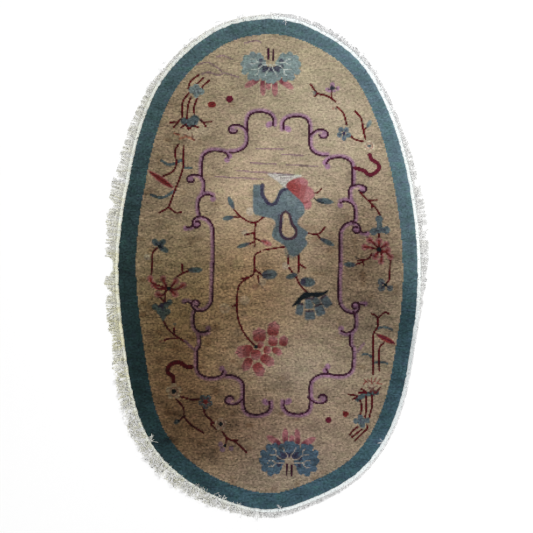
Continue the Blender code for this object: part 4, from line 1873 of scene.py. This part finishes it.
        # Painted shadow dashes where strands part.
        middle = self.generator.uniform(*self.DASH_MIDDLES, column)
        half = self.generator.uniform(*self.DASH_HALVES, column)
        dashes = dashes * (self.CLEAN_DASHES + (1 - self.CLEAN_DASHES) * soil)
        dashed = np.abs(np.linspace(0, 1, steps)[None] - middle) < half
        dashed &= self.generator.uniform(0, 1, column) < dashes
        tone = np.exp(self.generator.normal(0, spread, (len(shares), steps)))
        depth = 1 - self.RUFFLED_DASH * self._cotton(shares, "tangle")[:, None]
        tone *= np.where(dashed, self.generator.uniform(*self.DASH_TONES, column) * depth, 1.0)
        clean, soiled = linear_rgb(clean), linear_rgb(self.SOILED)
        return (clean + (soiled - clean) * soil[..., None]) * tone[..., None]

    def tape(self) -> Mesh:
        """Ribbed tape with its ends butted together."""
        count = int(self.outline.length / self.TAPE_PITCH)
        gap = self.JOINT_GAP / self.outline.length
        shares = self.joint + np.linspace(gap, 1 - gap, count)
        rib = self.RIB * np.where(np.arange(count) % 2 == 0, 1.0, -1.0)
        profile = np.array(self.TAPE_PROFILE) * MM
        rows = []
        for outset, height in profile:
            loose = self.generator.normal(0, self.TAPE_UNEVENNESS, count)
            lift = height + (rib if height > self.RIB_FROM else 0) + loose
            row = self.outline.at(shares, outset + loose)
            rows.append(np.column_stack([row, np.maximum(lift, self.TAPE_LEAST)]))
        rows.append(np.column_stack([self.outline.at(shares, profile[0][0]), np.full(count, self.TAPE_FOOT)]))
        points = np.stack(rows, axis=1)
        index = np.arange(points.shape[0] * points.shape[1]).reshape(points.shape[:2])
        here, onward = index[:-1], index[1:]
        walls = np.stack([here, onward, np.roll(onward, -1, 1), np.roll(here, -1, 1)], axis=-1)
        ends = np.vstack([index[0], index[-1, ::-1]])
        mesh = mesh_from("fringe_tape", points.reshape(-1, 3), [walls.reshape(-1, 4), ends])
        tones = self.tones(shares, points.shape[1], 0.11, 0.3, self.TAPE_CLEAN)
        tones *= self._cotton(shares, "tape")[:, None, None]
        wall_tones = np.repeat(tones[:-1].reshape(-1, 3), 4, axis=0)
        colour_corners(mesh, np.vstack([wall_tones, tones[0], tones[-1]]))
        return mesh

    def cords(self) -> Mesh:
        """Twisted cords in leaning tufts."""
        count = int(self.outline.length / self.CORD_PITCH)
        shares = self.joint + (np.arange(count) + 0.5) / count
        shares += self.generator.normal(0, self.CORD_SCATTER, count) / count
        paths = self._lay(shares, self.CORD_STEPS, self.CORD_STRAY, 1.0, self.CORD_START)
        radii = self.CORD_RADIUS * self.generator.uniform(*self.CORD_SIZES, (count, 1))
        radii = radii * np.linspace(1.0, self.CORD_TIP, self.CORD_STEPS)[None]
        tones = self.tones(shares, self.CORD_STEPS, 0.11, 0.6)
        return Strands(paths, radii, tones, sides=4, flatness=0.45, turns=1.6).mesh("fringe_cords")

    def wisps(self) -> Mesh:
        """Fine loose fibres over and between the cords, and frayed threads over the border."""
        shares = self._chosen(self.WISPS, lambda tangle: 1 + self.WISP_GATHER * tangle)
        shares = shares + self.generator.uniform(0, 1 / self.PLACES, self.WISPS)
        roots = np.concatenate([[self.outline.share(fray.angle)] * fray.threads for fray in self.FRAYS])
        laid = self._lay(shares, self.WISP_STEPS, self.WISP_STRAY, self.WISP_LENGTH, self.WISP_START)
        paths = np.concatenate([laid, self._frays()])
        radii = np.full(paths.shape[:2], self.WISP_RADIUS)
        radii[self.WISPS:] = self.FRAY_RADIUS
        radii[:, -1] *= self.WISP_TIP
        tones = self.tones(np.concatenate([shares, roots]), self.WISP_STEPS, 0.08, 0.1)
        return Strands(paths, radii, tones, sides=3, flatness=1.0, turns=0.5).mesh("fringe_wisps")

    def curls(self) -> Mesh:
        """Thick bright strands that lie across one another where the fringe is ruffled."""
        column = (self.CURLS, 1)
        shares = self._chosen(self.CURLS, lambda tangle: tangle**2)
        reach = self.outline.reach(shares)[:, None]
        t = np.linspace(0, 1, self.CURL_STEPS)[None]
        heading = self.generator.uniform(0, TURN, column)
        heading = heading + self.generator.normal(0, self.CURL_BEND, column) * t
        step = self.generator.uniform(*self.CURL_LENGTHS, column) / self.CURL_STEPS
        root = self.generator.uniform(self.CURL_ROOTS[0], reach + self.CURL_ROOTS[1])
        out = np.clip(root + np.cumsum(np.cos(heading), 1) * step, self.CURL_INNER, reach + self.CURL_OUTER)
        flat = self._beside(shares, out, np.cumsum(np.sin(heading), 1) * step)
        height = self.generator.uniform(*self.CURL_HEIGHTS, column) + self.CURL_ARCH * np.sin(t * TURN / 2)
        height = height * np.clip(1.25 - out / reach * 0.6, 0.5, 1)
        radii = self.CURL_RADIUS * np.sin((0.15 + 0.7 * t) * TURN / 2) * np.ones(column)
        tones = self.tones(shares, self.CURL_STEPS, 0.06, 0.1)
        tones = tones + (linear_rgb(self.CLEAN) - tones) * self.CURL_BRIGHTNESS
        paths = np.concatenate([flat, height[..., None]], axis=2)
        return Strands(paths, radii, tones, sides=4, flatness=0.7, turns=1.0).mesh("fringe_curls")

    def _frays(self) -> Array:
        """Paths of the threads that lie in over the border's pile."""
        t = np.linspace(0, 1, self.WISP_STEPS)
        height = self.FRAY_HIGH - (self.FRAY_HIGH - self.FRAY_LOW) * np.clip(1 - t * 4, 0, 1) ** 2
        paths = []
        for fray in self.FRAYS:
            for _ in range(fray.threads):
                scatter = self.generator.normal(0, fray.spread * MM)
                share = self.outline.share(fray.angle) + scatter / self.outline.length
                reach = fray.reach * MM * self.generator.uniform(0.5, 1.0)
                drift = self.generator.uniform(-1.0, 1.0) * reach * t**2
                shares = np.mod(share + drift / self.outline.length, 1)
                paths.append(np.column_stack([self.outline.at(shares, self.FRAY_ROOT - reach * t), height]))
        return np.array(paths)

    def _lay(self, shares: Array, steps: int, stray: float, length: float, height: float) -> Array:
        """Paths of strands that leave the tape, lean together in tufts and lie down on the floor.

        Args:
            shares: where each strand grows, as a share of the outline's length.
            steps: points along each strand.
            stray: how far a strand strays from its tuft's lean, as a slope.
            length: length as a share of the CAD fringe's reach.
            height: height of its start above the floor.

        Returns:
            Points by strand and step.
        """
        count = len(shares)
        column = (count, 1)
        tuft = self._tuft(shares)
        tangle = self._cotton(shares, "tangle")
        reach = (self.outline.reach(shares) - self.ROOT_OUTSET) * length * self.tuft_length[tuft]
        reach *= self._cotton(shares, "length")
        inward = self._cotton(shares, "cover") * self.TAPE_COVERED * self.generator.uniform(0, 1, count)
        for place in self.THIN_PLACES:
            away = np.abs((shares - self.outline.share(place.angle) + 0.5) % 1 - 0.5)
            distance = away * self.outline.length
            reach = np.where(distance < place.width / 2 * MM, reach * place.left, reach)
        reach *= self.generator.uniform(self.SHORTENING.at(tangle), 1.0)
        reach = (np.maximum(reach, self.SHORTEST_STRAND) + inward)[:, None]
        slow = slow_noise(np.random.default_rng(LEAN_SEED), shares, self.LEAN_WAVES)
        ruffle = self.RUFFLE.at(tangle)
        lean = self.SLOW_LEAN.at(tangle) * slow
        lean += ruffle * (self.tuft_lean[tuft] + self.generator.normal(0, stray, count))
        curl = ruffle * self.generator.normal(0, self.CURVING + stray, count)
        loose = 1 + tangle[:, None]
        crimp = self.generator.uniform(*self.CRIMP_SHARES, column) * self.CRIMP * loose
        phase = self.generator.uniform(0, TURN, column)
        t = np.linspace(0, 1, steps)[None]
        aside = reach * (lean[:, None] * t + curl[:, None] * t**3 / 2)
        aside += crimp * np.sin(phase + t * reach / self.CRIMP_LENGTH * TURN) * t
        flat = self._beside(shares, self.ROOT_OUTSET - inward[:, None] + reach * t, aside)
        rest = self.REST_HEIGHT + self.generator.uniform(0, 1, column) * height * loose
        root = self.ROOT_HEIGHT + self.ROOT_RISE * inward[:, None]
        fall = (rest + (root - rest) * (1 - t) ** 2) * (1 - 0.35 * t)
        fall = np.maximum(fall + self.RIPPLE * np.sin(phase * 2 + t * 9), self.LEAST_HEIGHT)
        return np.concatenate([flat, fall[..., None]], axis=2)

    def make(self) -> dict[str, Object]:
        """Makes the fringe's pieces."""
        fibres = {self.tape: 700.0, self.cords: 900.0, self.wisps: 900.0, self.curls: 900.0}
        pieces = {}
        for maker, fibre in fibres.items():
            finish = CottonFinish(f"fringe_{maker.__name__}_cotton", fibre).material()
            pieces[maker.__name__] = add_piece(maker(), finish, "fringe")
        return pieces


def slow_noise(generator: np.random.Generator, shares: Array, waves: Sequence[int]) -> Array:
    """Smooth random value round the rug, about -1 to 1, from a few whole numbers of waves."""
    total = np.zeros(len(shares))
    for wave in waves:
        total += np.sin(TURN * (wave * shares + generator.uniform()))
    return total / math.sqrt(len(waves))


# ---- Studio ----


@dataclass(frozen=True)
class SoftLight:
    """One soft area light: its name, its place, the side of its square and its power in watts."""

    name: str
    at: tuple[float, float, float]
    size: float
    power: float

    def make(self) -> None:
        """Hangs the light, aimed at the rug's centre."""
        data = bpy.data.lights.new(self.name, "AREA")
        data.size = self.size
        data.energy = self.power
        lamp = bpy.data.objects.new(self.name, data)
        lamp.location = self.at
        lamp.rotation_euler = (-lamp.location).to_track_quat("-Z", "Y").to_euler()
        bpy.context.scene.collection.objects.link(lamp)


@dataclass(frozen=True)
class Studio:
    """Pale floor, soft light, and a camera straight above the rug as in the photograph."""

    floor_size: float = 14.0
    floor_drop: float = 0.3 * MM
    floor_tone: float = 0.95
    sky_strength: float = 0.85
    camera_height: float = 2.6
    sensor: float = 36.0
    lights: tuple[SoftLight, ...] = (
        SoftLight("key", (1.9, 1.6, 2.4), 1.6, 42.0),
        SoftLight("fill", (-1.6, -1.8, 2.6), 2.2, 8.0),
    )

    def make(self) -> None:
        """Sets the studio up."""
        self._floor()
        self._world()
        self._camera()
        for light in self.lights:
            light.make()

    def _floor(self) -> None:
        """Plain pale floor, a hair below the rug."""
        half = self.floor_size / 2
        corners = np.array([(-half, -half, 0), (half, -half, 0), (half, half, 0), (-half, half, 0)], float)
        corners[:, 2] = -self.floor_drop
        mesh = mesh_from("floor", corners, [np.array([[0, 1, 2, 3]])])
        tone = self.floor_tone
        colour = {"Base Color": (tone, tone, tone, 1), "Roughness": 0.9}
        mesh.materials.append(ShaderTree("pale_floor").finish(colour))
        floor = bpy.data.objects.new("floor", mesh)
        bpy.context.scene.collection.objects.link(floor)

    def _world(self) -> None:
        """Even soft daylight from all round."""
        world = bpy.data.worlds.new("studio")
        world.use_nodes = True
        sky = world.node_tree.nodes["Background"]
        sky.inputs["Color"].default_value = (1.0, 1.0, 1.0, 1)
        sky.inputs["Strength"].default_value = self.sky_strength
        bpy.context.scene.world = world
        bpy.context.scene.view_settings.view_transform = "Standard"

    def _camera(self) -> None:
        """Camera over the middle of the photograph's frame."""
        middle = PHOTO_WIDTH_PX / 2
        data = bpy.data.cameras.new("camera")
        data.sensor_width = self.sensor
        data.lens = self.sensor * self.camera_height / (PHOTO_WIDTH_PX * METRES_PER_PX)
        camera = bpy.data.objects.new("camera", data)
        camera.location = (
            (middle - RUG_CENTRE_PX[0]) * METRES_PER_PX,
            (RUG_CENTRE_PX[1] - middle) * METRES_PER_PX,
            self.camera_height,
        )
        bpy.context.scene.collection.objects.link(camera)
        bpy.context.scene.camera = camera


def main() -> None:
    """Builds the rug round the frame, piece by piece."""
    logging.basicConfig(level=logging.INFO, format="%(name)s: %(message)s")
    Studio().make()
    outline = RugOutline()
    chart = KnotChart(outline)
    weave_design(chart)
    chart.wear(np.random.default_rng(WEAR_SEED))
    body = RugBody(outline, chart).make()
    fringe = Fringe(outline).make()


if __name__ == "__main__":
    main()
